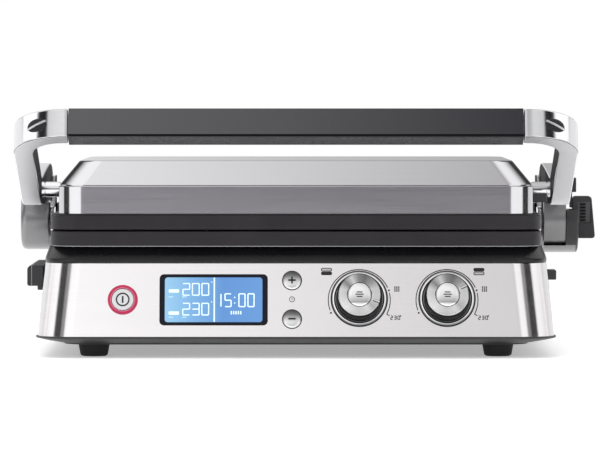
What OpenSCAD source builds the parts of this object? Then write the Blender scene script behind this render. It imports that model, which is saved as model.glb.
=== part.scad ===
// Contact grill (panini press) with a floating, level lid, a flat-open hinge, a drip tray and
// front controls. Millimetres, +Z up, front towards -Y, origin under the middle of the whole box.

/* [Base] */
// Width of the base at the foot of its steel band
body_w = 396; // [340:1:480]
// Depth of the base at the foot of its steel band
body_d = 296; // [250:1:360]
// Height of the brushed steel band
band_h = 55.7; // [50:0.1:70]
// Backward lean of the front panel, in degrees
front_lean = 14; // [8:0.5:16]
// Inward lean of the side walls, in degrees
side_lean = 5.8; // [3:0.1:7]
// Plan radius of the base's upright corners
corner_r = 28; // [20:1:36]
// Thickness of the pressed steel
steel_t = 1; // [0.8:0.1:1.5]
// Height of the black pan below the steel band
pan_h = 7; // [6:0.5:10]
// Thickness of moulded plastic walls
wall_t = 2.5; // [2:0.1:3.5]
// Height of the black deck above the steel band
deck_h = 12.3; // [11:0.1:16]

/* [Feet] */
// Height of a rubber foot
foot_h = 9.5; // [8:0.5:14]
// Largest diameter of a rubber foot
foot_d = 24.5; // [20:0.5:30]

/* [Plates and lid] */
// Height of one plate's outer band
plate_h = 11.9; // [10:0.1:16]
// Gap between the closed plates' edges
seam_gap = 0.8; // [0.6:0.1:1.2]
// How far the rib tips stay below a plate's edge
rib_sink = 2.5; // [2.3:0.1:4]
// Distance between grill ribs
rib_pitch = 12; // [9:0.5:16]
// Height of the lid's upright steel skirt
skirt_h = 21.6; // [18:0.1:28]
// Height of the lid's sloping edge
slope_h = 18.8; // [14:0.1:24]

/* [Handle] */
// Downward slope of the handle loop towards the back, in degrees
handle_slope = 20; // [16:1:22]
// Height of the handle strip, square to its plane
strip_h = 22.6; // [18:0.1:26]
// Thickness of a side arm
arm_t = 15; // [12:0.5:18]
// Depth of the handle's front bar
bar_d = 17; // [14:0.5:20]
// Outer plan radius of the handle's corners
handle_r = 39; // [34:1:46]
// Length of the black grip
grip_l = 344; // [280:1:350]
// Diameter of the lid's pivot pin
pivot_d = 8; // [6:0.5:10]

/* [Hinge] */
// Diameter of the hinge drums
drum_d = 49; // [44:0.5:54]
// Diameter of the fixed hinge axle
axle_d = 12; // [10:0.5:14]
// Radial running clearance of a shaft in its bore
run_gap = 0.05; // [0.02:0.01:0.1]
// Gap between pieces that pass each other
pass_gap = 0.5; // [0.4:0.1:0.7]

/* [Controls] */
// Diameter of a temperature knob at its base
knob_d = 35.3; // [30:0.1:38]
// Height of a temperature knob above the panel
knob_h = 17; // [14:0.5:20]
// Diameter of the push button in a knob's face
sear_d = 18; // [14:0.5:20]
// Distance between the two knobs
knob_pitch = 66.8; // [58:0.2:72]
// Diameter of a timer button
timer_d = 14.3; // [11:0.1:16]
// Diameter of the power button
power_d = 17.1; // [14:0.1:20]
// Width of the display's frame
lcd_w = 82.5; // [70:0.5:90]
// Height of the display's frame
lcd_h = 39.7; // [32:0.1:41]

/* [Drip tray] */
// Length of the drip tray inside the base
tray_l = 257; // [200:1:290]
// Depth of the drip tray, front to back
tray_d = 104; // [80:1:124]
// Height of the drip tray
tray_h = 15.5; // [12:0.5:19]

/* [Hidden] */
$fn = 48;
thin = 0.01;

// Heights of the stack, from the table up
pan_z = foot_h;
band_z = pan_z + pan_h;
deck_z = band_z + band_h;
lower_z = deck_z + deck_h;
seam_z = lower_z + plate_h + seam_gap / 2;
upper_z = seam_z + seam_gap / 2;
lid_z = upper_z + plate_h + 0.5;
crease_z = lid_z + skirt_h;
top_z = crease_z + slope_h;

// Places from front to back
front_y = -body_d / 2 - 2;
rear_y = front_y + body_d;
front_top_y = front_y + band_h * tan(front_lean);
hinge_y = rear_y - 9;
hinge_z = seam_z + 1.2;
plate_front_y = front_top_y + 2;
plate_rear_y = hinge_y - 21;
lid_front_y = plate_front_y + 5;
lid_rear_y = plate_rear_y - 5;
pivot_y = (lid_front_y + lid_rear_y) / 2 - 19;
pivot_z = crease_z - 5.2;

// Places from the middle out to one side
half_w = body_w / 2;
plate_half = half_w - 10;
lid_half = plate_half - 6;
lid_top_half = lid_half - 16;
tower_in = plate_half + 1.7;
tower_t = 5.8;
lug_in = tower_in + tower_t + 0.7;
lug_t = 4.5;
drum_in = lug_in + lug_t + pass_gap;
drum_t = 22.8;
drum_r = drum_d / 2;
right_drum_t = 18.8;
arm_in = drum_in - 1.7;
arm_out = arm_in + arm_t;
axle_r = axle_d / 2;

// Selector and flat-open release, on the right drum
cap_in = drum_in + right_drum_t;
cap_t = 10;
cap_r = drum_r + 2.5;
cap_floor_t = 3.6;
tab_in = cap_in + cap_floor_t + 0.4;
tab_t = 1.7;
selector_in = tab_in + tab_t + 0.3;
selector_t = 18.3;
selector_r = drum_r - 5;
selector_shaft_r = 7;
selector_tip = selector_in + selector_t;
tab_pivot_z = hinge_z + 15;
tab_pin_r = 1.5;

// The handle loop lies in a plane that starts at the bar's lower front edge
bar_reach = 31.5;
bar_y = front_y - bar_reach;
bar_z = top_z + 18.7;
grip_proud = 0.3;
knee_run = 149.5;
strip_l = knee_run / cos(handle_slope);
knee_y = bar_y + knee_run;
knee_z = bar_z - knee_run * tan(handle_slope);
top_edge_y = bar_y + strip_h * sin(handle_slope);
top_edge_z = bar_z + strip_h * cos(handle_slope);
core_w = 9;
core_h = 13;
core_gap = 0.1;
grip_screw_in = 22;
insert_r = 5.3;
insert_angle = 31.7;

// The whole object's box is centred over the origin
mid_x = -(selector_tip - drum_in - drum_t) / 2;
mid_y = -(bar_y + hinge_y + cap_r) / 2;

// Front panel layout, measured from the middle of the panel
panel_z = band_z + band_h / 2;
knob_left_x = 48.2;
knob_right_x = knob_left_x + knob_pitch;
knob_up = 0.8;
knob_left_angle = -22;
knob_right_angle = 25;
lcd_x = -62.7;
power_x = -131.9;
timer_x = -3;
timer_up = 15;
board_back = 24;
board_t = 1.6;
shaft_r = 3;
bezel_r = knob_d / 2 + 3.6;
timer_gap = 0.45;

// Drip tray
tray_y = 0;
tray_under_deck = 22.2;
tray_z = deck_z - tray_under_deck;
tray_out_x = -(half_w - 1);
tray_wall = 2;
grip_t = 12.2;
grip_r = 4;
grip_foot_t = 4.2;
grip_foot_h = 3.2;
grip_d = tray_d + 16;
grip_z = tray_z + 1.5;
grip_h = tray_h + 0.5;
slot_gap = 0.6;

// Feet
foot_x = half_w - 43;
foot_front_y = front_y + 38;
foot_rear_y = rear_y - 34;
screw_r = 2;
screw_gap = 0.1;

// Vented cover and cord gland in the rear of the band
rear_open = body_w - 96;
rear_low = band_z + 7.5;
rear_high = deck_z - 6.2;
cover_lap = 3;
cover_gap = 0.3;
vent_w = 4;
vent_pitch = 14;
gland_x = -(rear_open / 2 - 25);
gland_z = rear_low + 12;
gland_r = 6.5;

// Springs in the drums' pockets
spring_in = drum_in + 2;
spring_t = 12;
spring_r = 13;

// Buttons that free the plates, and the clearance round them
button_gap = 0.4;
upper_button_y = pivot_y - 42;
upper_button_d = 22;
upper_button_z = lid_z + 7.5;
upper_button_h = 7;
lower_button_y = -50;
lower_button_d = 22;
lower_button_z = deck_z - 15.9;
lower_button_l = 18.6;
lower_button_h = 7.5;

// Plan corners, and how far the lid's top lies inside its skirt
plate_r = 22;
lid_r = 20;
lid_top_r = 12;
lid_top_front = 20;
lid_top_rear = 13;
pan_in = 20;
lid_frame_t = 3;
pivot_in = 14;
bracket_t = 9;
sleeve_t = 2;

// Spout that leads grease from the plate to the tray
spout_x = -(plate_half - 20);
spout_y = 0;
spout_r = 6;
opening_half = plate_half - 12;
opening_front_y = plate_front_y + 22;
opening_rear_y = plate_rear_y - 10;
heater_half = plate_half - 43;
heater_d = plate_rear_y - plate_front_y - 90;
heater_w = 8;
heater_t = 5;

charcoal = "#2b2b2d";
steel = "#b9b8b6";
chrome = "#d8d9da";
black = "#1c1c1e";

function arc_points(centre, r, from, to, steps) =
    [for (i = [0:steps]) centre + r * [cos(from + (to - from) * i / steps),
                                       sin(from + (to - from) * i / steps)]];
function round_rect(x, yf, yb, r, steps = 6) = concat(
    arc_points([x - r, yb - r], r, 0, 90, steps),
    arc_points([r - x, yb - r], r, 90, 180, steps),
    arc_points([r - x, yf + r], r, 180, 270, steps),
    arc_points([x - r, yf + r], r, 270, 360, steps));
// Outline of the leaning base at height z, moved inwards by inset
function base_outline(z, inset = 0) = round_rect(
    half_w - (z - band_z) * tan(side_lean) - inset,
    front_y + (z - band_z) * tan(front_lean) + inset / cos(front_lean),
    rear_y - inset, corner_r - inset);

module place() { translate([mid_x, mid_y, 0]) children(); }
module slab(outline, z, h) { translate([0, 0, z]) linear_extrude(h) polygon(outline); }
module loft(low, z_low, high, z_high) {
    hull() {
        slab(low, z_low, thin);
        slab(high, z_high - thin, thin);
    }
}
// Frame of the front panel: x across, y up the panel, z out of it
module on_panel(x, up = 0) {
    translate([x, front_y + (panel_z - band_z) * tan(front_lean), panel_z])
        rotate([90 - front_lean, 0, 0]) translate([0, up, 0]) children();
}
// Lays a y-z outline across x, from x1 to x2
module across(x1, x2) {
    translate([min(x1, x2), 0, 0]) rotate([90, 0, 90]) linear_extrude(abs(x2 - x1)) children();
}
// A round bar along x, from x1 to x2
module rod(x1, x2, y, z, r) {
    translate([min(x1, x2), y, z]) rotate([0, 90, 0]) cylinder(r = r, h = abs(x2 - x1));
}
module both_sides() {
    children();
    mirror([1, 0, 0]) children();
}
module at_feet() {
    for (x = [-foot_x, foot_x], y = [foot_front_y, foot_rear_y]) translate([x, y, 0]) children();
}
// Frame of the handle loop: x across, y back along the loop's plane, z square to it
module on_handle() { translate([0, bar_y, bar_z]) rotate([-handle_slope, 0, 0]) children(); }

// ---- Base ----
module base_pan() place() color(black) difference() {
    union() {
        difference() {
            loft(round_rect(half_w - pan_in, front_y + pan_in, rear_y - pan_in, corner_r - 8), pan_z,
                 round_rect(half_w + 1.4, front_y - 1, rear_y + 1, corner_r + 1), band_z);
            slab(round_rect(half_w - pan_in - wall_t, front_y + pan_in + wall_t,
                            rear_y - pan_in - wall_t, corner_r - 8), pan_z + wall_t, pan_h);
        }
        at_feet() translate([0, 0, pan_z + 1]) cylinder(r = screw_r + 4, h = pan_h + 3);
    }
    at_feet() translate([0, 0, pan_z - 1]) cylinder(r = screw_r + screw_gap, h = pan_h + 9);
}
module steel_band() place() color(steel) difference() {
    loft(base_outline(band_z), band_z, base_outline(deck_z), deck_z);
    loft(base_outline(band_z - 1, steel_t), band_z - 1, base_outline(deck_z + 1, steel_t), deck_z + 1);
    translate([-rear_open / 2, rear_y - 5, rear_low]) cube([rear_open, 10, rear_high - rear_low]);
    translate([-half_w - 5, tray_y - tray_d / 2 - slot_gap, tray_z - slot_gap])
        cube([20, tray_d + 2 * slot_gap, tray_h + 2 * slot_gap]);
    translate([half_w - 15, lower_button_y - lower_button_d / 2 - button_gap, lower_button_z - button_gap])
        cube([20, lower_button_d + 2 * button_gap, lower_button_h + 2 * button_gap]);
    on_panel(lcd_x) translate([1 - lcd_w / 2, 1 - lcd_h / 2, -5]) cube([lcd_w - 2, lcd_h - 2, 10]);
    on_panel(power_x) translate([0, 0, -5]) cylinder(r = power_d / 2 + 1.85, h = 10);
    for (s = [-1, 1]) on_panel(timer_x, s * timer_up)
        translate([0, 0, -5]) cylinder(r = timer_d / 2 + timer_gap, h = 10);
    for (x = [knob_left_x, knob_right_x]) on_panel(x, knob_up)
        translate([0, 0, -5]) cylinder(r = shaft_r + 2, h = 10);
}
module rear_cover() place() color(black) difference() {
    union() {
        translate([cover_gap - rear_open / 2, rear_y - steel_t - 2.4, rear_low + cover_gap])
            cube([rear_open - 2 * cover_gap, steel_t + 2.4, rear_high - rear_low - 2 * cover_gap]);
        translate([-rear_open / 2 - cover_lap, rear_y - steel_t - 2.4, rear_low - cover_lap])
            cube([rear_open + 2 * cover_lap, 2.2, rear_high - rear_low + 2 * cover_lap]);
    }
    for (i = [-6:6]) translate([i * vent_pitch - vent_w / 2 + 30, rear_y - 8, rear_low + 9])
        cube([vent_w, 12, rear_high - rear_low - 18]);
    translate([gland_x, rear_y - 10, gland_z]) rotate([-90, 0, 0])
        cylinder(r = gland_r + 0.1, h = 20);
}
module cord_gland() place() color(black) translate([gland_x, 0, gland_z]) difference() {
    union() {
        translate([0, rear_y - 8, 0]) rotate([-90, 0, 0]) cylinder(r = gland_r, h = 10);
        translate([0, rear_y + 0.1, 0]) rotate([-90, 0, 0]) cylinder(r = gland_r + 2, h = 3.4);
    }
    translate([0, rear_y + 0.5, 0]) rotate([-90, 0, 0]) cylinder(r = 3.4, h = 5);
}
module deck_frame() place() color(charcoal) difference() {
    hull() {
        slab(base_outline(deck_z), deck_z, 3.2);
        slab(round_rect(plate_half + 1.5, plate_front_y + 8, rear_y, corner_r - 4),
             lower_z - thin, thin);
    }
    slab(round_rect(opening_half, opening_front_y, opening_rear_y, 12), deck_z - 1, deck_h + 2);
}
module rubber_feet() place() color("#111112") at_feet() rotate_extrude() polygon([
    [screw_r + 2.6, 0], [foot_d / 2 - 2.4, 0], [foot_d / 2 - 1.4, 1.2], [foot_d / 2, foot_h],
    [screw_r + 0.3, foot_h], [screw_r + 0.3, 5], [screw_r + 2.6, 5]]);
module base_screws() place() color("#9a9a9c") at_feet() {
    translate([0, 0, 3]) cylinder(r = screw_r + 2, h = 2);
    translate([0, 0, 3]) cylinder(r = screw_r, h = foot_h + 8);
}

// ---- Front panel ----
module lcd_bezel() place() color(black) on_panel(lcd_x) difference() {
    union() {
        translate([0, 0, 0]) linear_extrude(0.6)
            polygon(round_rect(lcd_w / 2, -lcd_h / 2, lcd_h / 2, 3.5));
        translate([0, 0, -6]) linear_extrude(6.1)
            polygon(round_rect(lcd_w / 2 - 1.2, 1.2 - lcd_h / 2, lcd_h / 2 - 1.2, 2.5));
    }
    translate([0, 0, -7]) linear_extrude(9)
        polygon(round_rect(lcd_w / 2 - 4, 2.4 - lcd_h / 2, lcd_h / 2 - 2.4, 2.3));
}
module lcd_screen() place() color("#5fa9e0") on_panel(lcd_x) translate([0, 0, -5]) linear_extrude(5.2)
    polygon(round_rect(lcd_w / 2 - 4.1, 2.5 - lcd_h / 2, lcd_h / 2 - 2.5, 2.2));
module power_ring() place() color("#c01f32") on_panel(power_x) rotate_extrude() polygon([
    [power_d / 2 + 0.3, -8], [power_d / 2 + 1.65, -8], [power_d / 2 + 1.65, 0.05],
    [power_d / 2 + 2.95, 0.05], [power_d / 2 + 2.95, 0.7], [power_d / 2 + 2.2, 1.2],
    [power_d / 2 + 0.3, 1.2]]);
module power_button() place() color(chrome) on_panel(power_x) rotate_extrude() polygon([
    [0, -6], [power_d / 2, -6], [power_d / 2, 0.9], [power_d / 2 - 1, 1.6], [0, 1.9]]);
module timer_button(up) { place() color(chrome) on_panel(timer_x, up) rotate_extrude() polygon([
    [0, -6], [timer_d / 2, -6], [timer_d / 2, 0.8], [timer_d / 2 - 1.2, 1.6], [0, 2]]); }
module timer_plus_button() timer_button(timer_up);
module timer_minus_button() timer_button(-timer_up);
module knob_bezels() place() color(chrome)
    for (x = [knob_left_x, knob_right_x]) on_panel(x, knob_up) rotate_extrude() polygon([
        [shaft_r + 1, 0.05], [bezel_r, 0.05], [bezel_r, 1.2], [bezel_r - 0.8, 2],
        [knob_d / 2 + 0.6, 2], [knob_d / 2 + 0.6, 0.5], [shaft_r + 1, 0.5]]);
module at_knobs(x) { on_panel(x, knob_up) children(); }
module knob_body(x) { place() color(black) at_knobs(x) rotate_extrude() polygon([
    [shaft_r + run_gap, 0.9], [knob_d / 2, 0.9], [knob_d / 2 - 1, knob_h - 3],
    [knob_d / 2 - 1.6, knob_h - 2.4], [sear_d / 2 + 0.4, knob_h - 2.4], [sear_d / 2 + 0.4, 8.4],
    [shaft_r + run_gap, 8.4]]); }
module knob_left() knob_body(knob_left_x);
module knob_right() knob_body(knob_right_x);
module knob_cap(x, angle) { place() color(steel) at_knobs(x) difference() {
    rotate_extrude() polygon([
        [sear_d / 2 + 0.4, knob_h - 2.4], [knob_d / 2 - 1.7, knob_h - 2.4],
        [knob_d / 2 - 1.7, knob_h - 0.8], [knob_d / 2 - 2.5, knob_h], [sear_d / 2 + 0.4, knob_h]]);
    rotate([0, 0, angle]) translate([sear_d / 2 + 2, -1, knob_h - 1]) cube([knob_d, 2, 5]);
} }
module knob_cap_left() knob_cap(knob_left_x, knob_left_angle);
module knob_cap_right() knob_cap(knob_right_x, knob_right_angle);
module sear_button(x) { place() color(steel) at_knobs(x) rotate_extrude() polygon([
    [0, 10.6], [sear_d / 2, 10.6], [sear_d / 2, knob_h - 0.3], [sear_d / 2 - 0.8, knob_h + 0.4],
    [0, knob_h + 0.8]]); }
module sear_button_left() sear_button(knob_left_x);
module sear_button_right() sear_button(knob_right_x);
module encoders() place() color("#6d6f72") for (x = [knob_left_x, knob_right_x]) at_knobs(x) {
    translate([-7, -7, -board_back]) cube([14, 14, 10]);
    translate([0, 0, -board_back]) cylinder(r = shaft_r, h = board_back + 7.6);
}
module control_board() place() color("#1f6b3a") on_panel(0)
    translate([-118, -18, -board_back - board_t]) cube([knob_right_x + 118 + 20, 36, board_t]);
module power_board() place() color("#1f6b3a") translate([20, rear_y - 126, pan_z + wall_t]) {
    cube([120, 80, 4]);
    for (p = [[20, 20, 22], [55, 40, 26], [90, 25, 18]]) translate([p[0], p[1], 0]) cylinder(r = 9, h = p[2]);
}

// ---- Plates and heaters ----
// Side view of the space between ribs, open towards the plate's edge at z = 0
function rib_space(half, depth, floor_z) = concat([[-half, 2], [-half, floor_z]],
    [for (i = [-rib_count(half):rib_count(half)]) for (p = [[-2.2, floor_z], [-1.4, -depth],
        [1.4, -depth], [2.2, floor_z]]) [i * rib_pitch + p[0], p[1]]],
    [[half, floor_z], [half, 2]]);
function rib_count(half) = floor((half - 8) / rib_pitch);
module plate_body() { difference() {
    hull() {
        slab(round_rect(plate_half - 0.8, plate_front_y + 0.8, plate_rear_y - 0.6, plate_r), 0, thin);
        slab(round_rect(plate_half, plate_front_y, plate_rear_y, plate_r), plate_h * 0.5, thin);
        slab(round_rect(plate_half - 0.3, plate_front_y + 0.4, plate_rear_y - 0.3, plate_r),
             plate_h - thin, thin);
    }
    translate([0, plate_rear_y - plate_r, plate_h]) rotate([90, 0, 0])
        linear_extrude(plate_rear_y - plate_front_y - 2 * plate_r)
            polygon(rib_space(plate_half - 10, rib_sink, 6.5 - plate_h));
    for (y = [plate_front_y + 10, plate_rear_y - plate_r])
        translate([10 - plate_half, y, 5.5]) cube([2 * plate_half - 20, 12, plate_h]);
} }
module lower_plate() place() color(charcoal) difference() {
    union() {
        translate([0, 0, lower_z]) plate_body();
        translate([spout_x, spout_y, deck_z - 1]) cylinder(r = spout_r, h = deck_h + 3);
    }
    translate([spout_x, spout_y, deck_z - 2]) cylinder(r = spout_r - 2, h = deck_h + plate_h + 4);
}
module upper_plate() place() color(charcoal)
    translate([0, 0, upper_z + plate_h]) mirror([0, 0, 1]) plate_body();
module heater_loop(z) { translate([0, (plate_front_y + plate_rear_y) / 2, z]) linear_extrude(heater_t)
    difference() {
        square([2 * heater_half, heater_d], center = true);
        translate([heater_w, 0]) square([2 * heater_half, heater_d - 2 * heater_w], center = true);
        translate([heater_half - 20, 0]) square([60, heater_d - 40], center = true);
    }
}
module lower_heater() place() color("#77706a") heater_loop(lower_z - 2 - heater_t);
module upper_heater() place() color("#77706a") heater_loop(lid_z + 2);
module lower_reflector() place() color("#c8c9ca") {
    difference() {
        slab(round_rect(opening_half - 0.2, opening_front_y + 0.2, opening_rear_y - 0.2, 12),
             deck_z + 0.8, 1.2);
        translate([spout_x, spout_y, deck_z - 2]) cylinder(r = spout_r + 0.5, h = 8);
    }
    both_sides() for (s = [-1, 1])
        translate([heater_half - 40,
                   (plate_front_y + plate_rear_y) / 2 + s * (heater_d - heater_w) / 2, deck_z + 2])
            cylinder(r = 3, h = lower_z - 2 - heater_t - deck_z - 2);
}
module plate_clips() place() color("#9a9a9c") both_sides()
    translate([90, opening_front_y, lower_z - 7.4]) cube([24, 4, 7.4]);
module upper_reflector() place() color("#c8c9ca") {
    slab(round_rect(lid_half - 22, lid_front_y + 24, lid_rear_y - 24, 12), lid_z + 10.3, 1.2);
    both_sides() for (y = [lid_front_y + 34, lid_rear_y - 34])
        translate([lid_half - 27, y, lid_z + 3]) cylinder(r = 2.5, h = 7.3);
}
module insulation_pad() place() color("#c9b98a")
    slab(round_rect(lid_half - 24, lid_front_y + 28, lid_rear_y - 28, 12), lid_z + 11.5, 8);

// ---- Drip tray ----
module tray_rails() place() color(black) for (s = [0, 1]) translate([0, tray_y, 0]) mirror([0, s, 0])
    across(14 - half_w, tray_l - half_w - 6) translate([tray_d / 2, tray_z]) polygon([
        [-1.5, -4], [6.5, -4], [6.5, 4], [1.1, 4], [1.1, -0.4], [-1.5, -0.4]]);
module drip_tray() place() color("#26262a") difference() {
    translate([tray_out_x, tray_y - tray_d / 2, tray_z]) cube([tray_l, tray_d, tray_h]);
    translate([tray_out_x + tray_wall, tray_y - tray_d / 2 + tray_wall, tray_z + tray_wall])
        cube([tray_l - 2 * tray_wall, tray_d - 2 * tray_wall, tray_h]);
}
module tray_grip() place() color(black)
    translate([0, tray_y + grip_d / 2, 0]) rotate([90, 0, 0]) linear_extrude(grip_d)
        polygon(concat(
            [[tray_out_x, grip_z - grip_foot_h], [tray_out_x, grip_z + grip_h]],
            arc_points([tray_out_x - grip_t + grip_r, grip_z + grip_h - grip_r], grip_r, 90, 180, 5),
            [[tray_out_x - grip_t, grip_z], [tray_out_x - grip_foot_t, grip_z],
             [tray_out_x - grip_foot_t, grip_z - grip_foot_h]]));

// ---- Hinge ----
module hinge_circle(r) { translate([hinge_y, hinge_z]) circle(r = r); }
module hinge_towers() place() color(black) both_sides() difference() {
    union() {
        across(tower_in, tower_in + tower_t) {
            hinge_circle(14);
            translate([hinge_y - 13, lower_z]) square([22, hinge_z - lower_z]);
        }
        translate([tower_in - 25, hinge_y - 13, lower_z]) cube([26, 22, 3]);
    }
    rod(tower_in - 5, tower_in + 20, hinge_y, hinge_z, axle_r);
}
module hinge_axles() place() color("#a9aaac") {
    rod(-tower_in, -(drum_in + drum_t - 2), hinge_y, hinge_z, axle_r);
    rod(tower_in, drum_in + right_drum_t - 3, hinge_y, hinge_z, axle_r);
}
// Turned drum on the hinge axis, from x = 0 outwards, with a pocket for its spring
module drum_blank(t, round_edge) {
    translate([0, hinge_y, hinge_z]) rotate([0, 90, 0]) rotate_extrude() polygon(concat(
        [[spring_r, 0], [drum_r, 0]],
        arc_points([drum_r - round_edge, t - round_edge], round_edge, 0, 90, 6),
        [[axle_r + run_gap, t], [axle_r + run_gap, 2 + spring_t], [spring_r, 2 + spring_t]]));
}
module drum_left() place() color(steel) mirror([1, 0, 0]) translate([drum_in, 0, 0]) {
    drum_blank(drum_t - 1.5, 1);
    translate([drum_t - 1.5, hinge_y, hinge_z]) rotate([0, 90, 0])
        cylinder(r = drum_r - 1.5, h = 1.5);
}
module drum_right() place() color(steel) difference() {
    translate([drum_in, 0, 0]) drum_blank(right_drum_t, 0.6);
    rod(cap_in - 2.5, cap_in + 1, hinge_y, hinge_z, selector_shaft_r + run_gap);
    rod(cap_in - 4, cap_in + 1, hinge_y, tab_pivot_z, tab_pin_r + run_gap);
}
module drum_cap_right() place() color(black) difference() {
    union() {
        across(cap_in, cap_in + cap_t) hinge_circle(cap_r);
        across(drum_in + 0.8, cap_in + 1) difference() {
            hinge_circle(cap_r);
            hinge_circle(drum_r + 0.2);
            translate([hinge_y - 60, hinge_z - 21]) square([120, 80]);
        }
    }
    translate([cap_in - 1, hinge_y - 40, hinge_z + 8]) cube([20, 80, 40]);
    rod(cap_in - 1, cap_in + 20, hinge_y, hinge_z, selector_shaft_r + 0.5);
    rod(cap_in + cap_floor_t, cap_in + 20, hinge_y, hinge_z, selector_r + pass_gap);
}
module torsion_springs() place() color("#8d8f92") both_sides()
    for (i = [0:4]) translate([spring_in - 1.6 + i * 2.4, hinge_y, hinge_z]) rotate([0, 90, 0])
        rotate_extrude() translate([axle_r + 3.4, 1.1]) circle(r = 1.1, $fn = 16);
module height_selector() place() color(black) {
    rod(cap_in - 2.2, selector_in + 1, hinge_y, hinge_z, selector_shaft_r);
    across(selector_in, selector_tip) intersection() {
        hinge_circle(selector_r);
        polygon([[hinge_y - 9, hinge_z - 15.3], [hinge_y + 9, hinge_z - 15.3],
                 [hinge_y + 7, hinge_z + 30], [hinge_y - 7, hinge_z + 30]]);
    }
    for (i = [0:5]) translate([selector_in + 6, hinge_y - 9.4, hinge_z - 3 + i * 3.2])
        cube([5, 3, 1.6]);
}
module flat_release_tab() place() color(black) {
    rod(cap_in - 3.5, tab_in + 1, hinge_y, tab_pivot_z, tab_pin_r);
    across(tab_in, tab_in + tab_t)
        translate([hinge_y - 6, tab_pivot_z - 5.5]) square([12, 14]);
    across(tab_in, tab_in + 5) polygon([
        [hinge_y - 7, drum_r + hinge_z - 2.3], [hinge_y + 7, drum_r + hinge_z - 2.3],
        [hinge_y + 6, drum_r + hinge_z + 9.5], [hinge_y - 6, drum_r + hinge_z + 9.5]]);
}

// ---- Handle ----
module loop_outline() { difference() {
    polygon(round_rect(arm_out, 0, strip_l * 2, handle_r));
    polygon(round_rect(arm_in, bar_d, strip_l * 2 - bar_d, handle_r - arm_t));
} }
function line_z(y, y0, z0) = z0 - (y - y0) * tan(handle_slope);
module arm() { difference() {
    union() {
        intersection() {
            on_handle() linear_extrude(strip_h) loop_outline();
            translate([grip_l / 2, bar_y - 50, knee_z - 20])
                cube([arm_out, knee_y - 20 - bar_y + 50, 200]);
        }
        across(arm_in, arm_out) difference() {
            polygon([
                [knee_y - 48, line_z(knee_y - 48, top_edge_y, top_edge_z)],
                [knee_y + 10, line_z(knee_y + 10, top_edge_y, top_edge_z)],
                [hinge_y - 77, hinge_z + 43.5], [hinge_y - 25, hinge_z + 46],
                [hinge_y - 3, hinge_z + 44.5], [hinge_y + 13, hinge_z + 39],
                [hinge_y + 22, hinge_z + 29], [hinge_y + cap_r - 1.5, hinge_z + 14],
                [hinge_y - 33, hinge_z + 15.8], [knee_y + 14, knee_z - 1.2],
                [knee_y, knee_z], [knee_y - 48, line_z(knee_y - 48, bar_y, bar_z)]]);
            hinge_circle(drum_r + pass_gap);
        }
        across(lug_in, lug_in + lug_t) {
            hinge_circle(16);
            translate([hinge_y - 16, hinge_z]) square([32, 40]);
        }
    }
    rod(lug_in - 5, lug_in + 8, hinge_y, hinge_z, axle_r + run_gap);
    on_insert() cylinder(r = insert_r + 0.1, h = 8);
} }
// Mouth of the pocket in a handle corner, looking into the metal
module on_insert() {
    on_handle() translate([arm_out - handle_r, handle_r, strip_h / 2])
        rotate([0, 0, insert_angle]) translate([0, 2.5 - handle_r, 0]) rotate([90, 0, 0]) children();
}
module arm_right() place() color(chrome) arm();
module arm_left() place() color(chrome) mirror([1, 0, 0]) arm();
module corner_inserts() place() color(black) both_sides() on_insert() cylinder(r = insert_r, h = 2.7);
module at_grip_screws() {
    both_sides() translate([grip_l / 2 - grip_screw_in, bar_d / 2, 0]) children();
}
module bar_section(grow) { translate([-grow, -grow]) square([bar_d + 2 * grow, strip_h + 2 * grow]); }
module handle_grip() place() color(charcoal) on_handle() difference() {
    rotate([90, 0, 90]) translate([0, 0, -grip_l / 2]) linear_extrude(grip_l) bar_section(grip_proud);
    translate([-grip_l / 2 - 1, (bar_d - core_w) / 2 - core_gap, (strip_h - core_h) / 2 - core_gap])
        cube([grip_l + 2, core_w + 2 * core_gap, core_h + 2 * core_gap]);
    at_grip_screws() translate([0, 0, -5]) cylinder(r = 3.2, h = 7);
    at_grip_screws() translate([0, 0, -5]) cylinder(r = 1.7, h = 12);
}
module grip_core() place() color("#8d8f92") on_handle() difference() {
    translate([-grip_l / 2, (bar_d - core_w) / 2, (strip_h - core_h) / 2]) cube([grip_l, core_w, core_h]);
    at_grip_screws() translate([0, 0, -5]) cylinder(r = 1.7, h = 14);
}
module handle_screws() place() color("#8d8f92") on_handle() at_grip_screws() {
    cylinder(r = 3, h = 2);
    cylinder(r = 1.6, h = 8.6);
}
module pivot_pins() place() color(chrome) both_sides() {
    rod(lid_half - pivot_in, lid_half, pivot_y, pivot_z, pivot_d / 2);
    rod(lid_half - 1.4, arm_in, pivot_y, pivot_z, pivot_d / 2 + sleeve_t);
}

// ---- Lid ----
module lid_shell(inset) {
    hull() {
        slab(round_rect(lid_half - inset, lid_front_y + inset, lid_rear_y - inset, lid_r - inset),
             lid_z - inset, skirt_h);
        slab(round_rect(lid_top_half - inset, lid_front_y + lid_top_front + inset,
                        lid_rear_y - lid_top_rear - inset, lid_top_r - inset),
             top_z - inset - thin, thin);
    }
}
module lid_cover() place() color(steel) difference() {
    lid_shell(0);
    lid_shell(steel_t);
    both_sides() rod(lid_half - 20, lid_half + 5, pivot_y, pivot_z, pivot_d / 2 + sleeve_t + pass_gap);
    translate([lid_half - 5, upper_button_y - upper_button_d / 2 - button_gap, upper_button_z - button_gap])
        cube([10, upper_button_d + 2 * button_gap, upper_button_h + 2 * button_gap]);
}
module lid_frame() place() color(black) difference() {
    slab(round_rect(lid_half - steel_t - 0.2, lid_front_y + steel_t + 0.2,
                    lid_rear_y - steel_t - 0.2, lid_r - steel_t - 0.2), lid_z, lid_frame_t);
    slab(round_rect(lid_half - 34, lid_front_y + 22, lid_rear_y - 22, 10), lid_z - 1, 5);
}
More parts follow.
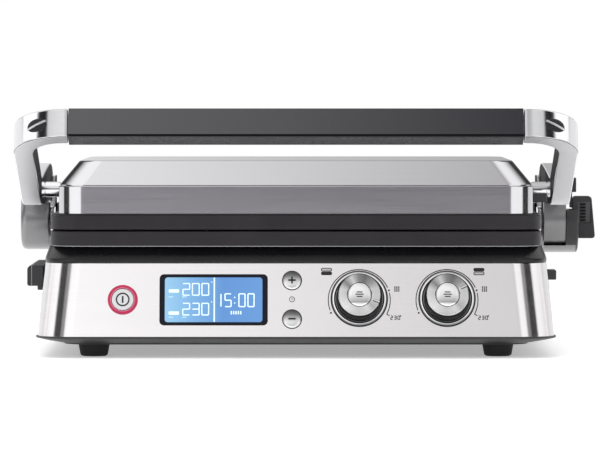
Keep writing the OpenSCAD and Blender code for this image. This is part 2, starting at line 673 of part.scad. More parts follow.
module pivot_brackets() place() color("#8d8f92") both_sides() difference() {
    translate([lid_half - pivot_in, pivot_y - 12, lid_z + lid_frame_t])
        cube([bracket_t, 24, pivot_z - lid_z + 4]);
    rod(lid_half - 30, lid_half, pivot_y, pivot_z, pivot_d / 2 + run_gap);
}
module lid_screws() place() color("#8d8f92") both_sides()
    for (y = [lid_front_y + 60, lid_rear_y - 60]) translate([lid_half - 22, y, lid_z + lid_frame_t])
        cylinder(r = 3, h = 2);
module upper_release_button() place() color(black)
    translate([lid_half - 6, upper_button_y - upper_button_d / 2, upper_button_z])
        cube([18.4, upper_button_d, upper_button_h]);
module lower_release_button() place() color(black)
    translate([half_w - 14, lower_button_y - lower_button_d / 2, lower_button_z])
        cube([lower_button_l, lower_button_d, lower_button_h]);

base_pan();
steel_band();
deck_frame();
rear_cover();
rubber_feet();
base_screws();
lcd_bezel();
lcd_screen();
power_ring();
knob_bezels();
control_board();
power_board();
encoders();
lower_plate();
lower_heater();
lower_reflector();
plate_clips();
hinge_towers();
hinge_axles();
tray_rails();
cord_gland();
drip_tray();
tray_grip();
drum_left();
drum_right();
drum_cap_right();
torsion_springs();
height_selector();
flat_release_tab();
arm_left();
arm_right();
handle_grip();
grip_core();
corner_inserts();
handle_screws();
pivot_pins();
lid_cover();
lid_frame();
upper_plate();
upper_heater();
upper_reflector();
insulation_pad();
pivot_brackets();
lid_screws();
upper_release_button();
lower_release_button();
knob_left();
knob_right();
knob_cap_left();
knob_cap_right();
sear_button_left();
sear_button_right();
timer_plus_button();
timer_minus_button();
power_button();
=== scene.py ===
from math import atan2, cos, pi, radians, sin, tan

import bmesh
import bpy
from mathutils import Matrix, Vector


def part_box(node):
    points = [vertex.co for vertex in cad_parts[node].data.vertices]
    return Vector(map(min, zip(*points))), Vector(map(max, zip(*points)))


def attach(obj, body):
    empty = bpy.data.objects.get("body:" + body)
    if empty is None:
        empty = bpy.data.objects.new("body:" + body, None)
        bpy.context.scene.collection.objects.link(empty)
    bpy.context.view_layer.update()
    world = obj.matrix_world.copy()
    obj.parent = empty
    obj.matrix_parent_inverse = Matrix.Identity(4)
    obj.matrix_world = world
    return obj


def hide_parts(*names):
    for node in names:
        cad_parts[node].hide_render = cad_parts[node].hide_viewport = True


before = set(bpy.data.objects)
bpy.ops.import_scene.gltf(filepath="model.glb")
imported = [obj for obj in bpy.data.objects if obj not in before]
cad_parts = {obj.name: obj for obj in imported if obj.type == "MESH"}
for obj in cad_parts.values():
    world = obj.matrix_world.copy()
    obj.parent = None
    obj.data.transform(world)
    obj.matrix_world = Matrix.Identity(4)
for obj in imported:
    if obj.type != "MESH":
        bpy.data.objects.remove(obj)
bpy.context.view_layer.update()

# ---- Camera, floor and lights ----
# The press stands on a pale table and is seen from straight in front, a little above the handle, through a
# long lens. Soft cards stand around it, with dark gaps between them, so that the steel has something to show.
band_low, band_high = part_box("steel_band")
mid_x = (band_low.x + band_high.x) / 2
zero_y = band_low.y + 0.150


def mm(x, y, z):
    """A place in millimetres from the body's middle, as the frame's metres."""
    return Vector((mid_x + x / 1000, zero_y + y / 1000, z / 1000))


bpy.ops.object.camera_add(location=mm(0, -3850, 208.8), rotation=(radians(90 - 1.79), 0, 0))
camera = bpy.context.object
camera.data.lens = 289
camera.data.sensor_width = 36
camera.data.shift_x = 0.0124
camera.data.clip_end = 50
bpy.context.scene.camera = camera

bpy.ops.mesh.primitive_plane_add(size=2.8, location=(0, -0.3, 0))
floor = bpy.context.object
floor.name = "table"
floor_paint = bpy.data.materials.new("pale_table")
floor_paint.use_nodes = True
floor_paint.node_tree.nodes["Principled BSDF"].inputs["Base Color"].default_value = (0.90, 0.90, 0.90, 1)
floor_paint.node_tree.nodes["Principled BSDF"].inputs["Roughness"].default_value = 0.7
floor_paint.node_tree.nodes["Principled BSDF"].inputs["Emission Color"].default_value = (1, 1, 1, 1)
floor_paint.node_tree.nodes["Principled BSDF"].inputs["Emission Strength"].default_value = 0.36
floor.data.materials.append(floor_paint)

studio = bpy.data.worlds.new("studio")
bpy.context.scene.world = studio
bpy.context.scene.view_settings.view_transform = "Standard"
studio.use_nodes = True


def ramp_node(tree, stops, source):
    """A colour ramp fed by source, with (place, grey or colour) stops."""
    ramp = tree.nodes.new("ShaderNodeValToRGB")
    while len(ramp.color_ramp.elements) < len(stops):
        ramp.color_ramp.elements.new(0.5)
    for element, (place, shade) in zip(ramp.color_ramp.elements, stops):
        element.position = place
        element.color = (shade, shade, shade, 1) if isinstance(shade, float) else (*shade, 1)
    tree.links.new(source, ramp.inputs[0])
    return ramp.outputs[0]


def math_node(tree, operation, first, second=None):
    """A math node; a number is set on its socket and a socket is linked. A product may have 0.5 added."""
    node = tree.nodes.new("ShaderNodeMath")
    node.operation = operation
    node.inputs[2].default_value = 0.5
    for socket, value in zip(node.inputs, (first, second)):
        if isinstance(value, (int, float)):
            socket.default_value = value
        elif value is not None:
            tree.links.new(value, socket)
    return node.outputs[0]


def mix_node(tree, blend, amount, first, second):
    """A colour mix of two sockets or colours."""
    node = tree.nodes.new("ShaderNodeMix")
    node.data_type = "RGBA"
    node.blend_type = blend
    for index, value in ((0, amount), (6, first), (7, second)):
        if isinstance(value, (int, float)):
            node.inputs[index].default_value = value
        elif isinstance(value, tuple):
            node.inputs[index].default_value = (*value, 1)
        else:
            tree.links.new(value, node.inputs[index])
    return node.outputs[2]


def split_node(tree, source):
    """The x, y and z of a vector."""
    split = tree.nodes.new("ShaderNodeSeparateXYZ")
    tree.links.new(source, split.inputs[0])
    return split.outputs


sky = studio.node_tree
sky_x, sky_y, sky_z = split_node(sky, sky.nodes.new("ShaderNodeTexCoord").outputs["Generated"])
# Turn round the table, the same on both sides: 0 towards the camera, 1 behind the press
sky_turn = math_node(sky, "DIVIDE", math_node(sky, "ARCTAN2", math_node(sky, "ABSOLUTE", sky_x),
                     math_node(sky, "MULTIPLY", sky_y, -1.0)), pi)
# Height over the horizon: -1 straight down, 1 straight up
height = math_node(sky, "DIVIDE", math_node(sky, "ARCSINE", sky_z), pi / 2)
# Three tiers of upright cards with dark gaps: level with the lid, above it, and high up
level_tier = ramp_node(sky, [(0.0, (0.27, 0.26, 0.29)), (0.075, (0.27, 0.26, 0.29)), (0.10, 1.35),
                             (0.38, 1.35), (0.41, 0.02), (0.57, 0.02), (0.60, 1.0), (0.93, 1.0), (1.0, 0.8)],
                       sky_turn)
middle_tier = ramp_node(sky, [(0.0, 1.4), (0.17, 1.4), (0.20, 0.02), (0.37, 0.02), (0.40, 1.35),
                              (0.62, 1.35), (0.66, 0.03), (0.76, 0.05), (0.80, 0.75), (1.0, 0.8)], sky_turn)
high_tier = ramp_node(sky, [(0.0, 0.95), (0.24, 0.8), (0.27, 0.02), (0.38, 0.02), (0.42, 1.35), (0.78, 1.35),
                            (0.83, 0.04), (0.90, 0.06), (0.94, 0.7), (1.0, 0.75)], sky_turn)
half_height = math_node(sky, "ADD", math_node(sky, "MULTIPLY", height, 0.5), 0.5)
# A dark cloth hangs behind the table's edge and outlines whatever stands upright
cloth = math_node(sky, "MULTIPLY", ramp_node(sky, [(0.490, 1.0), (0.499, 0.0)], half_height),
                  ramp_node(sky, [(0.86, 0.0), (0.90, 1.0)], sky_turn))
level_tier = mix_node(sky, "MIX", cloth, level_tier, (0.02, 0.02, 0.02))
lower_part = mix_node(sky, "MIX", ramp_node(sky, [(0.56, 0.0), (0.575, 1.0)], half_height),
                      level_tier, middle_tier)
slanted_height = math_node(sky, "ADD", height, math_node(sky, "MULTIPLY", sky_turn, 0.3))
tiers = mix_node(sky, "MIX", ramp_node(sky, [(0.355, 0.0), (0.38, 1.0)], slanted_height),
                 lower_part, high_tier)
around = mix_node(sky, "MIX", ramp_node(sky, [(0.55, 0.0), (0.68, 1.0)], height), tiers, (1.35, 1.35, 1.35))
# The light falls off from left to right
rightwards = math_node(sky, "ADD", sky_x, 0.5)
fall = mix_node(sky, "MIX", ramp_node(sky, [(0.3, 0.0), (0.9, 1.0)], height),
                ramp_node(sky, [(0.445, 1.08), (0.47, 0.95), (0.50, 0.82), (0.545, 0.64), (0.62, 0.64),
                                (0.72, 1.0)], rightwards),
                ramp_node(sky, [(0.43, 1.05), (0.50, 0.72), (0.56, 0.42), (0.62, 0.5), (0.72, 1.0)],
                          rightwards))
seen = sky.nodes.new("ShaderNodeLightPath").outputs["Is Camera Ray"]
sky.links.new(mix_node(sky, "MIX", seen, mix_node(sky, "MULTIPLY", 1.0, around, fall), (1.0, 1.0, 1.0)),
              sky.nodes["Background"].inputs[0])

for name, place, size, power in (("overhead_soft", mm(-500, -300, 1900), 1.6, 14),
                                 ("left_soft", mm(-1700, -1300, 900), 1.2, 7),
                                 ("right_soft", mm(1800, -1200, 800), 1.2, 4)):
    bpy.ops.object.light_add(type="AREA", location=place)
    lamp = bpy.context.object
    lamp.name = name
    lamp.data.size = size
    lamp.data.energy = power
    lamp.visible_glossy = False
    lamp.rotation_euler = (mm(0, 0, 90) - place).to_track_quat("-Z", "Y").to_euler()


# ---- Steel band ----
# One brushed stainless sheet, 1 mm thick, is folded round the front and sides and welded at the back. Its
# walls lean inwards, the front most of all. Openings for the controls, the tray and the vents are punched.
LEAN = 14
FRONT_FOOT, REAR, HALF = -150, 146, 198
BAND_FOOT, BAND_TOP = 16.5, 72.2
TOP_HALF = HALF - (BAND_TOP - BAND_FOOT) * tan(radians(5.8))
FRONT_TOP = FRONT_FOOT + (BAND_TOP - BAND_FOOT) * tan(radians(LEAN))


def at_rest():
    """Object mode with nothing selected."""
    if bpy.context.object and bpy.context.object.mode != "OBJECT":
        bpy.ops.object.mode_set(mode="OBJECT")
    bpy.ops.object.select_all(action="DESELECT")


def settle():
    """Leaves edit mode and puts the active object's place into its mesh."""
    if bpy.context.object.mode != "OBJECT":
        bpy.ops.object.mode_set(mode="OBJECT")
    piece = bpy.context.object
    bpy.ops.object.select_all(action="DESELECT")
    piece.select_set(True)
    bpy.ops.object.transform_apply(location=True, rotation=True, scale=True)
    return piece


def put(piece, place):
    """Moves or turns a piece by a matrix, which goes into its mesh."""
    at_rest()
    bpy.context.view_layer.objects.active = piece
    piece.select_set(True)
    piece.matrix_world = place @ piece.matrix_world
    return settle()


def block(low, high, name="block"):
    """A cube primitive between two corners, in millimetres from the body's middle."""
    at_rest()
    low, high = Vector(low), Vector(high)
    bpy.ops.mesh.primitive_cube_add(size=1, location=mm(*((low + high) / 2)),
                                    scale=tuple(abs(v) / 1000 for v in high - low))
    bpy.context.object.name = name
    return settle()


MESH_PARTS = {"VERT": "verts", "EDGE": "edges", "FACE": "faces"}


def choose(kind, test):
    """Selects the edited mesh's vertices, edges or faces that pass a test."""
    bpy.ops.mesh.select_mode(type=kind)
    bpy.ops.mesh.select_all(action="DESELECT")
    mesh = bmesh.from_edit_mesh(bpy.context.object.data)
    for part in getattr(mesh, MESH_PARTS[kind]):
        if test(part):
            part.select_set(True)
    mesh.select_flush_mode()
    bmesh.update_edit_mesh(bpy.context.object.data)


def edit(piece):
    """Edit mode on one piece, with nothing else selected."""
    at_rest()
    bpy.context.view_layer.objects.active = piece
    piece.select_set(True)
    bpy.ops.object.mode_set(mode="EDIT")


def shift(x=0, y=0, z=0):
    """Moves the selection by millimetres."""
    bpy.ops.transform.translate(value=(x / 1000, y / 1000, z / 1000))


def upright(edge):
    """Does an edge run more up than along?"""
    way = (edge.verts[0].co - edge.verts[1].co).normalized()
    return abs(way.z) > 0.35


def raise_top(rise, narrow=0, shallow=0, back=0):
    """Extrudes the topmost face up, and draws it in by so much on each side."""
    crest = max(v.co.z for v in bmesh.from_edit_mesh(bpy.context.object.data).verts)
    choose("FACE", lambda f: f.normal.z > 0.9 and min(v.co.z for v in f.verts) > crest - 0.000001)
    bpy.ops.mesh.extrude_region_move(TRANSFORM_OT_translate={"value": (0, back / 1000, rise / 1000)})
    top = [v.co for v in bmesh.from_edit_mesh(bpy.context.object.data).verts if v.select]
    spreads = [[v[axis] for v in top] for axis in (0, 1)]
    half_x, half_y = (500 * (max(spread) - min(spread)) for spread in spreads)
    middle = [(max(spread) + min(spread)) / 2 for spread in spreads]
    bpy.ops.transform.resize(value=(1 - narrow / half_x, 1 - shallow / half_y, 1),
                             center_override=(*middle, top[0].z))


def round_corners(radius, segments, test=upright):
    choose("EDGE", test)
    bpy.ops.mesh.bevel(offset=radius / 1000, segments=segments, affect="EDGES", profile=0.5)


def close_up():
    """Merges the edited mesh's doubles and turns its faces outwards."""
    bpy.ops.mesh.select_all(action="SELECT")
    bpy.ops.mesh.remove_doubles(threshold=0.000002)
    bpy.ops.mesh.normals_make_consistent(inside=False)


def soften(piece, width, segments=2, angle=35):
    """A bevel modifier on the piece's sharp edges, applied."""
    at_rest()
    bpy.context.view_layer.objects.active = piece
    piece.select_set(True)
    bevel = piece.modifiers.new("edge", "BEVEL")
    bevel.width = width / 1000
    bevel.segments = segments
    bevel.limit_method = "ANGLE"
    bevel.angle_limit = radians(angle)
    bpy.ops.object.modifier_apply(modifier=bevel.name)
    return piece


def thicken(piece, wall):
    """Gives a sheet its wall, inwards."""
    at_rest()
    bpy.context.view_layer.objects.active = piece
    piece.select_set(True)
    solid = piece.modifiers.new("wall", "SOLIDIFY")
    solid.thickness = wall / 1000
    solid.offset = -1
    solid.use_even_offset = True
    bpy.ops.object.modifier_apply(modifier=solid.name)
    return piece


def cut(piece, *tools, operation="DIFFERENCE"):
    """Cuts tools out of a piece, or joins them to it, and deletes them."""
    for tool in tools:
        at_rest()
        bpy.context.view_layer.objects.active = piece
        piece.select_set(True)
        boolean = piece.modifiers.new("cut", "BOOLEAN")
        boolean.operation = operation
        boolean.solver = "EXACT"
        boolean.object = tool
        bpy.ops.object.modifier_apply(modifier=boolean.name)
        bpy.data.objects.remove(tool)
    return piece


def shade(piece, angle=35):
    """Smooth faces with sharp edges kept, and flat faces kept flat."""
    at_rest()
    bpy.context.view_layer.objects.active = piece
    piece.select_set(True)
    bpy.ops.object.shade_smooth_by_angle(angle=radians(angle))
    even = piece.modifiers.new("flats", "WEIGHTED_NORMAL")
    even.keep_sharp = True
    bpy.ops.object.modifier_apply(modifier=even.name)


def finish(piece, name, body, slot, paint, *nodes, angle=35):
    """Names a piece, shades and paints it, and puts it on its body in place of its CAD nodes."""
    shade(piece, angle)
    piece.name = name
    piece.data.name = name
    if paint and not piece.data.materials:
        piece.data.materials.append(paint)
    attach(piece, body)
    if nodes:
        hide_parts(*nodes)
    return piece


def joined(first, *others):
    """Joins pieces into the first."""
    at_rest()
    for piece in others:
        piece.select_set(True)
    first.select_set(True)
    bpy.context.view_layer.objects.active = first
    bpy.ops.object.join()
    return first


def new_paint(name, color, metallic, roughness):
    """A material with its Principled shader, its tree and its object coordinates."""
    paint = bpy.data.materials.new(name)
    paint.use_nodes = True
    tree = paint.node_tree
    shader = tree.nodes["Principled BSDF"]
    shader.inputs["Base Color"].default_value = (*color, 1)
    shader.inputs["Metallic"].default_value = metallic
    shader.inputs["Roughness"].default_value = roughness
    place = tree.nodes.new("ShaderNodeTexCoord").outputs["Object"]
    return paint, tree, shader, place


def noise_node(tree, place, stretch, detail=3.0, rough=0.6):
    """Noise over the piece, with cells per metre along x, y and z."""
    mapping = tree.nodes.new("ShaderNodeMapping")
    mapping.inputs["Scale"].default_value = stretch
    tree.links.new(place, mapping.inputs["Vector"])
    noise = tree.nodes.new("ShaderNodeTexNoise")
    noise.inputs["Scale"].default_value = 1.0
    noise.inputs["Detail"].default_value = detail
    noise.inputs["Roughness"].default_value = rough
    tree.links.new(mapping.outputs[0], noise.inputs["Vector"])
    return noise.outputs["Fac"]


def bumps(tree, shader, height, strength, distance=0.0002):
    """Raises the surface by a height pattern."""
    bump = tree.nodes.new("ShaderNodeBump")
    bump.inputs["Strength"].default_value = strength
    bump.inputs["Distance"].default_value = distance
    tree.links.new(height, bump.inputs["Height"])
    tree.links.new(bump.outputs[0], shader.inputs["Normal"])


def grained_metal(name, color, roughness, stretch, depth=0.10, mottle=0.10, drawn=0.0):
    """Metal with fine brushed lines: long and thin along the smallest number of stretch. Where drawn is
    above 0, reflections are drawn out up and down, across lines that run from side to side."""
    paint, tree, shader, place = new_paint(name, color, 1.0, roughness)
    if drawn:
        shader.inputs["Anisotropic"].default_value = drawn
        facing = tree.nodes.new("ShaderNodeNewGeometry").outputs["Normal"]
        along = tree.nodes.new("ShaderNodeVectorMath")
        along.operation = "CROSS_PRODUCT"
        along.inputs[1].default_value = (0, -0.3, 1)
        across = tree.nodes.new("ShaderNodeVectorMath")
        across.operation = "CROSS_PRODUCT"
        tree.links.new(facing, along.inputs[0])
        tree.links.new(facing, across.inputs[0])
        tree.links.new(along.outputs[0], across.inputs[1])
        tree.links.new(across.outputs[0], shader.inputs["Tangent"])
    lines = noise_node(tree, place, stretch, 5.0, 0.75)
    slow = noise_node(tree, place, tuple(s * 0.02 + 6 for s in stretch), 2.0)
    dark, pale = tuple(c * (1 - mottle) for c in color), tuple(min(1, c * (1 + mottle * 0.6)) for c in color)
    tree.links.new(ramp_node(tree, [(0.3, dark), (0.7, pale)], lines), shader.inputs["Base Color"])
    both = math_node(tree, "ADD", math_node(tree, "MULTIPLY", lines, 0.7),
                     math_node(tree, "MULTIPLY", slow, 0.3))
    tree.links.new(ramp_node(tree, [(0.3, roughness * 0.85), (0.7, roughness * 1.25)], both),
                   shader.inputs["Roughness"])
    bumps(tree, shader, lines, depth, 0.00005)
    return paint


brushed_band = grained_metal("brushed_band_steel", (0.74, 0.72, 0.73), 0.15, (7, 7, 2600), 0.02, 0.07, 0.85)

band = block((-HALF, FRONT_FOOT, BAND_FOOT), (HALF, REAR, BAND_TOP - 0.5), "band")
edit(band)
choose("FACE", lambda f: f.normal.z > 0.9)
bpy.ops.transform.resize(value=(TOP_HALF / HALF, 1, 1))
choose("VERT", lambda v: v.co.z * 1000 > 40 and v.co.y < zero_y)
shift(y=FRONT_TOP - FRONT_FOOT)
round_corners(28, 18)
raise_top(0.5, 0.4, 0.4)
choose("FACE", lambda f: abs(f.normal.z) > 0.9)
bpy.ops.mesh.delete(type="FACE")
settle()
thicken(band, 1)


def on_panel(x, up=0, out=0):
    """A place on the leaning front panel: across, up the panel from its middle, and out of it."""
    lean = radians(LEAN)
    half_rise = (BAND_TOP - BAND_FOOT) / 2
    y = FRONT_FOOT + half_rise * tan(lean) + up * sin(lean) - out * cos(lean)
    return x, y, BAND_FOOT + half_rise + up * cos(lean) + out * sin(lean)


def set_in_panel(piece, x, up=0):
    """Moves a piece made around the world's origin, facing +Z, into the front panel."""
    return put(piece, Matrix.Translation(mm(*on_panel(x, up))) @ Matrix.Rotation(radians(90 - LEAN), 4, "X"))


def loose_block(width, height, low, high, corner=0.0, name="block"):
    """A block around the world's origin, low to high along Z, with rounded corners."""
    at_rest()
    bpy.ops.mesh.primitive_cube_add(size=1, location=(0, 0, (low + high) / 2000),
                                    scale=(width / 1000, height / 1000, (high - low) / 1000))
    piece = settle()
    piece.name = name
    if corner:
        edit(piece)
        round_corners(corner, 6, lambda e: abs((e.verts[0].co - e.verts[1].co).normalized().z) > 0.9)
        bpy.ops.object.mode_set(mode="OBJECT")
    return piece


def turned(profile, name="turned", sides=64):
    """A turned piece around the world's Z axis. The profile's (radius, height) points start and end at the
    centre line or close on themselves; each ring is extruded from the last and resized."""
    at_rest()
    hollow = profile[0][0] > 0
    rings = profile if hollow else profile[1:-1]
    bpy.ops.mesh.primitive_circle_add(vertices=sides, radius=rings[0][0] / 1000,
                                      location=(0, 0, rings[0][1] / 1000), fill_type="NOTHING")
    bpy.context.object.name = name
    bpy.ops.object.transform_apply(location=True)
    bpy.ops.object.mode_set(mode="EDIT")
    bpy.ops.mesh.select_all(action="SELECT")
    ends = rings[1:] + (rings[:1] if hollow else [])
    if not hollow:
        bpy.ops.mesh.edge_face_add()
    for (r0, z0), (r1, z1) in zip(rings, ends):
        if hollow:
            bpy.ops.mesh.extrude_edges_move(TRANSFORM_OT_translate={"value": (0, 0, (z1 - z0) / 1000)})
        else:
            bpy.ops.mesh.extrude_region_move(TRANSFORM_OT_translate={"value": (0, 0, (z1 - z0) / 1000)})
        bpy.ops.transform.resize(value=(r1 / r0, r1 / r0, 1), center_override=(0, 0, z1 / 1000))
    close_up()
    bpy.ops.object.mode_set(mode="OBJECT")
    return bpy.context.object


def rod(radius, low, high, sides=64):
    """A plain rod round the world's Z axis."""
    return turned([(0, low), (radius, low), (radius, high), (0, high)], sides=sides)


POWER_X, LCD_X, TIMER_X, KNOB_XS = -131.9, -62.7, -3, (48.2, 115.0)
TIMER_UP, KNOB_UP, LCD_W, LCD_H = 15, 0.8, 82.5, 39.7
cut(band,
    set_in_panel(loose_block(LCD_W - 2, LCD_H - 2, -6, 6, 2.5), LCD_X),
    set_in_panel(rod(10.4, -6, 6), POWER_X),
    *[set_in_panel(rod(7.6, -6, 6), TIMER_X, s * TIMER_UP) for s in (-1, 1)],
    *[set_in_panel(rod(5, -6, 6, 32), x, KNOB_UP) for x in KNOB_XS],
    block((-210, -52.6, 49.4), (-180, 52.6, 66.1)),
    block((180, -61.4, 55.9), (210, -38.6, 64.2)),
    block((-150, REAR - 6, 24), (150, REAR + 4, 66)))
finish(band, "steel_band_skin", "base", "brushed_steel", brushed_band, "steel_band", angle=20)


# ---- Base pan, screws and feet ----
# The black pan is moulded, with an underside that sweeps up to its rim. Four rubber feet are held under it
# by a screw each. The pan's skin is finely grained.
def moulded(name, color, roughness, grain=0.25, cell=2600, sheen=0.5):
    """Moulded plastic with a fine spark-eroded grain and a little unevenness in its gloss."""
    paint, tree, shader, place = new_paint(name, color, 0.0, roughness)
    fine = noise_node(tree, place, (cell, cell, cell), 2.0)
    slow = noise_node(tree, place, (22, 22, 22), 3.0)
    dark, pale = tuple(c * 0.86 for c in color), tuple(c * 1.16 for c in color)
    tree.links.new(ramp_node(tree, [(0.3, dark), (0.7, pale)], slow), shader.inputs["Base Color"])
    tree.links.new(ramp_node(tree, [(0.3, roughness - 0.05), (0.7, roughness + 0.06)], slow),
                   shader.inputs["Roughness"])
    shader.inputs["Specular IOR Level"].default_value = sheen
    bumps(tree, shader, fine, grain, 0.00006)
    return paint


black_plastic = moulded("black_moulding", (0.016, 0.016, 0.018), 0.38)
pan = block((-178, -130, 9.5), (178, 126, 10.2), "pan")
edit(pan)
round_corners(20, 12)
for rise, grow in ((1.4, 6.5), (1.6, 7.4), (1.6, 6.2), (0.6, 0.9), (1.1, 0)):
    raise_top(rise, -grow, -grow)
settle()
cut(pan, block((-170, -122, 12), (170, 118, 30)))
soften(pan, 0.5, 2, 40)
finish(pan, "base_pan_skin", "base", "black_plastic", black_plastic, "base_pan")

rubber = moulded("foot_rubber_compound", (0.012, 0.012, 0.012), 0.7, 0.5, 1500, 0.3)
foot_pads = []
for x in (-155, 155):
    for y in (-112, 112):
        foot = turned([(4.6, 0.6), (5.2, 0), (8.9, 0), (9.9, 0.5), (10.6, 1.4), (11.9, 8.6), (12.2, 9.5),
                       (2.3, 9.5), (2.3, 5), (4.6, 5)], sides=40)
        foot_pads.append(put(foot, Matrix.Translation(mm(x, y, 0))))
finish(joined(*foot_pads), "rubber_feet_pads", "base", "foot_rubber", rubber, "rubber_feet")


# ---- Deck ----
# The black deck closes the band at the top. It rises in a straight lip and then slopes in towards the
# plates, which drop into its opening. Behind the plates it is a flat ledge between the hinge towers.
deck_black = moulded("deck_moulding", (0.007, 0.007, 0.008), 0.27, 0.15, 2600, 0.3)
deck = block((-TOP_HALF, FRONT_TOP, BAND_TOP), (TOP_HALF, REAR, BAND_TOP + 3.2), "deck")
edit(deck)
round_corners(26, 14)
raise_top(9.1, TOP_HALF - 189.5, 5, 5)
settle()
soften(deck, 0.7, 2, 15)
cut(deck, block((-176, -112, 60), (176, 106, 95)))
finish(deck, "deck_frame_skin", "base", "charcoal_plastic", deck_black, "deck_frame", angle=25)


# ---- Grill plates ----
# Two cast plates with a dark non-stick coating. Each is a shallow pan with a rounded band for a rim, a
# gutter all round and straight ribs from front to back. The upper one is the lower one turned over.
coating = moulded("nonstick_coating", (0.019, 0.017, 0.020), 0.45, 0.4, 1400, 0.22)
PLATE_FRONT, PLATE_REAR, PLATE_HALF, PLATE_H = -134.1, 116, 188, 11.9
LOWER_Z, UPPER_Z, RIB_PITCH = 84.5, 97.2, 12


def grill_plate(name):
    """The plate with its ribs up and its foot at the lower plate's height."""
    plate = block((-PLATE_HALF + 1.2, PLATE_FRONT + 1.2, LOWER_Z),
                  (PLATE_HALF - 1.2, PLATE_REAR - 1.2, LOWER_Z + 0.6), name)
    edit(plate)
    round_corners(21, 12)
    for rise, grow in ((0.4, 1.0), (0.3, 0.2), (9.9, 0.01), (0.3, -0.21), (0.4, -1.0)):
        raise_top(rise, -grow, -grow)
    settle()
    cut(plate, block((-178, -124, 90), (178, 106, 110)))
    rib = block((-2, -112, 89.6), (2, 94, 93.9), "rib")
    edit(rib)
    choose("FACE", lambda f: f.normal.z > 0.9)
    bpy.ops.transform.resize(value=(0.6, 0.99, 1))
    settle()
    soften(rib, 0.7, 2, 30)
    ribs = []
    for i in range(-14, 15):
        at_rest()
        rib.select_set(True)
        bpy.context.view_layer.objects.active = rib
        bpy.ops.object.duplicate(linked=False)
        ribs.append(put(bpy.context.object, Matrix.Translation((i * RIB_PITCH / 1000, 0, 0))))
    bpy.data.objects.remove(rib)
    return joined(plate, *ribs)


def flat_ring(outer, inner, low, high, sides=56):
    """A ring or a tube round the world's Z axis."""
    return turned([(inner, low), (outer, low), (outer, high), (inner, high)], sides=sides)


def paint_faces(piece, paints, pick):
    """Gives a piece its paints, and each face the one that pick chooses for it."""
    for paint in paints:
        piece.data.materials.append(paint)
    for face in piece.data.polygons:
        face.material_index = paints.index(pick(face))


lower = joined(grill_plate("lower"), put(flat_ring(6, 4, 71.2, 86, 32), Matrix.Translation(mm(-168, 0, 0))))
# Painted highlight: the upright faces at the rim's foot are painted pale metal, a light line under the dark
# coating.
rim_painted_highlight = grained_metal("rim_foot_painted_highlight", (0.30, 0.30, 0.31), 0.4, (200, 200, 200), 0.05, 0.06)
RIM_TOP = (LOWER_Z + 1.1) / 1000
paint_faces(lower, [coating, rim_painted_highlight],
            lambda f: rim_painted_highlight if f.center.z < RIM_TOP and abs(f.normal.z) < 0.9 else coating)
finish(lower, "lower_plate_casting", "base", "plate_coating", None, "lower_plate")
upper = grill_plate("upper")
put(upper, Matrix.Translation((0, 0, (UPPER_Z + PLATE_H + LOWER_Z) / 1000)) @ Matrix.Scale(-1, 4, (0, 0, 1)))
edit(upper)
close_up()
settle()
finish(upper, "upper_plate_casting", "lid", "plate_coating", coating, "upper_plate")


# ---- Lid cover ----
# A deep-drawn steel cover: an upright skirt, a folded step, a sloping border and a flat top. The grain runs
# from side to side. It is 1 mm thick and open below, where the black lid frame closes it.
brushed_lid = grained_metal("brushed_lid_steel", (0.62, 0.61, 0.63), 0.12, (7, 1500, 2200), 0.006, 0.03, 0.5)
LID_FRONT, LID_REAR, LID_HALF, LID_Z, CREASE_Z, TOP_Z = -129.1, 111, 182, 109.6, 131.2, 150
cover = block((-LID_HALF, LID_FRONT, LID_Z), (LID_HALF, LID_REAR, CREASE_Z - 1.2), "cover")
edit(cover)
round_corners(20, 16)
for rise, draw in ((0.2, 0.08), (0.6, 0.6), (0.01, 0.9), (0.65, 0.0), (0.01, -1.1), (0.8, 0.8)):
    raise_top(rise, draw, draw)
raise_top(TOP_Z - CREASE_Z - 2.37, 13.2, 14.6, 3.3)
for rise, draw in ((0.75, 0.75), (0.4, 0.85), (0.15, 1.1)):
    raise_top(rise, draw, draw)
choose("FACE", lambda f: f.normal.z < -0.9 and f.calc_center_median().z < 0.115)
bpy.ops.mesh.inset(thickness=0.0024)
bpy.ops.mesh.extrude_region_move(TRANSFORM_OT_translate={"value": (0, 0, 0.0196)})
bpy.ops.mesh.extrude_region_move(TRANSFORM_OT_translate={"value": (0, 0.0033, 0.0178)})
bpy.ops.transform.resize(value=(0.915, 0.86, 1))
settle()


def lay_along_x(piece, x, y, z, side=1):
    """Lays a turned piece with its foot at a place and its length towards one side."""
    return put(piece, Matrix.Translation(mm(x, y, z)) @ Matrix.Rotation(radians(side * 90), 4, "Y"))


PIVOT_Y, PIVOT_Z = -28.06, 126
cut(cover, block((LID_HALF - 6, -81.5, 116.7), (LID_HALF + 6, -58.6, 124.5)),
    *[lay_along_x(rod(6.5, -12, 12, 40), side * LID_HALF, PIVOT_Y, PIVOT_Z) for side in (-1, 1)])
finish(cover, "lid_cover_skin", "lid", "brushed_steel", brushed_lid, "lid_cover", angle=18)


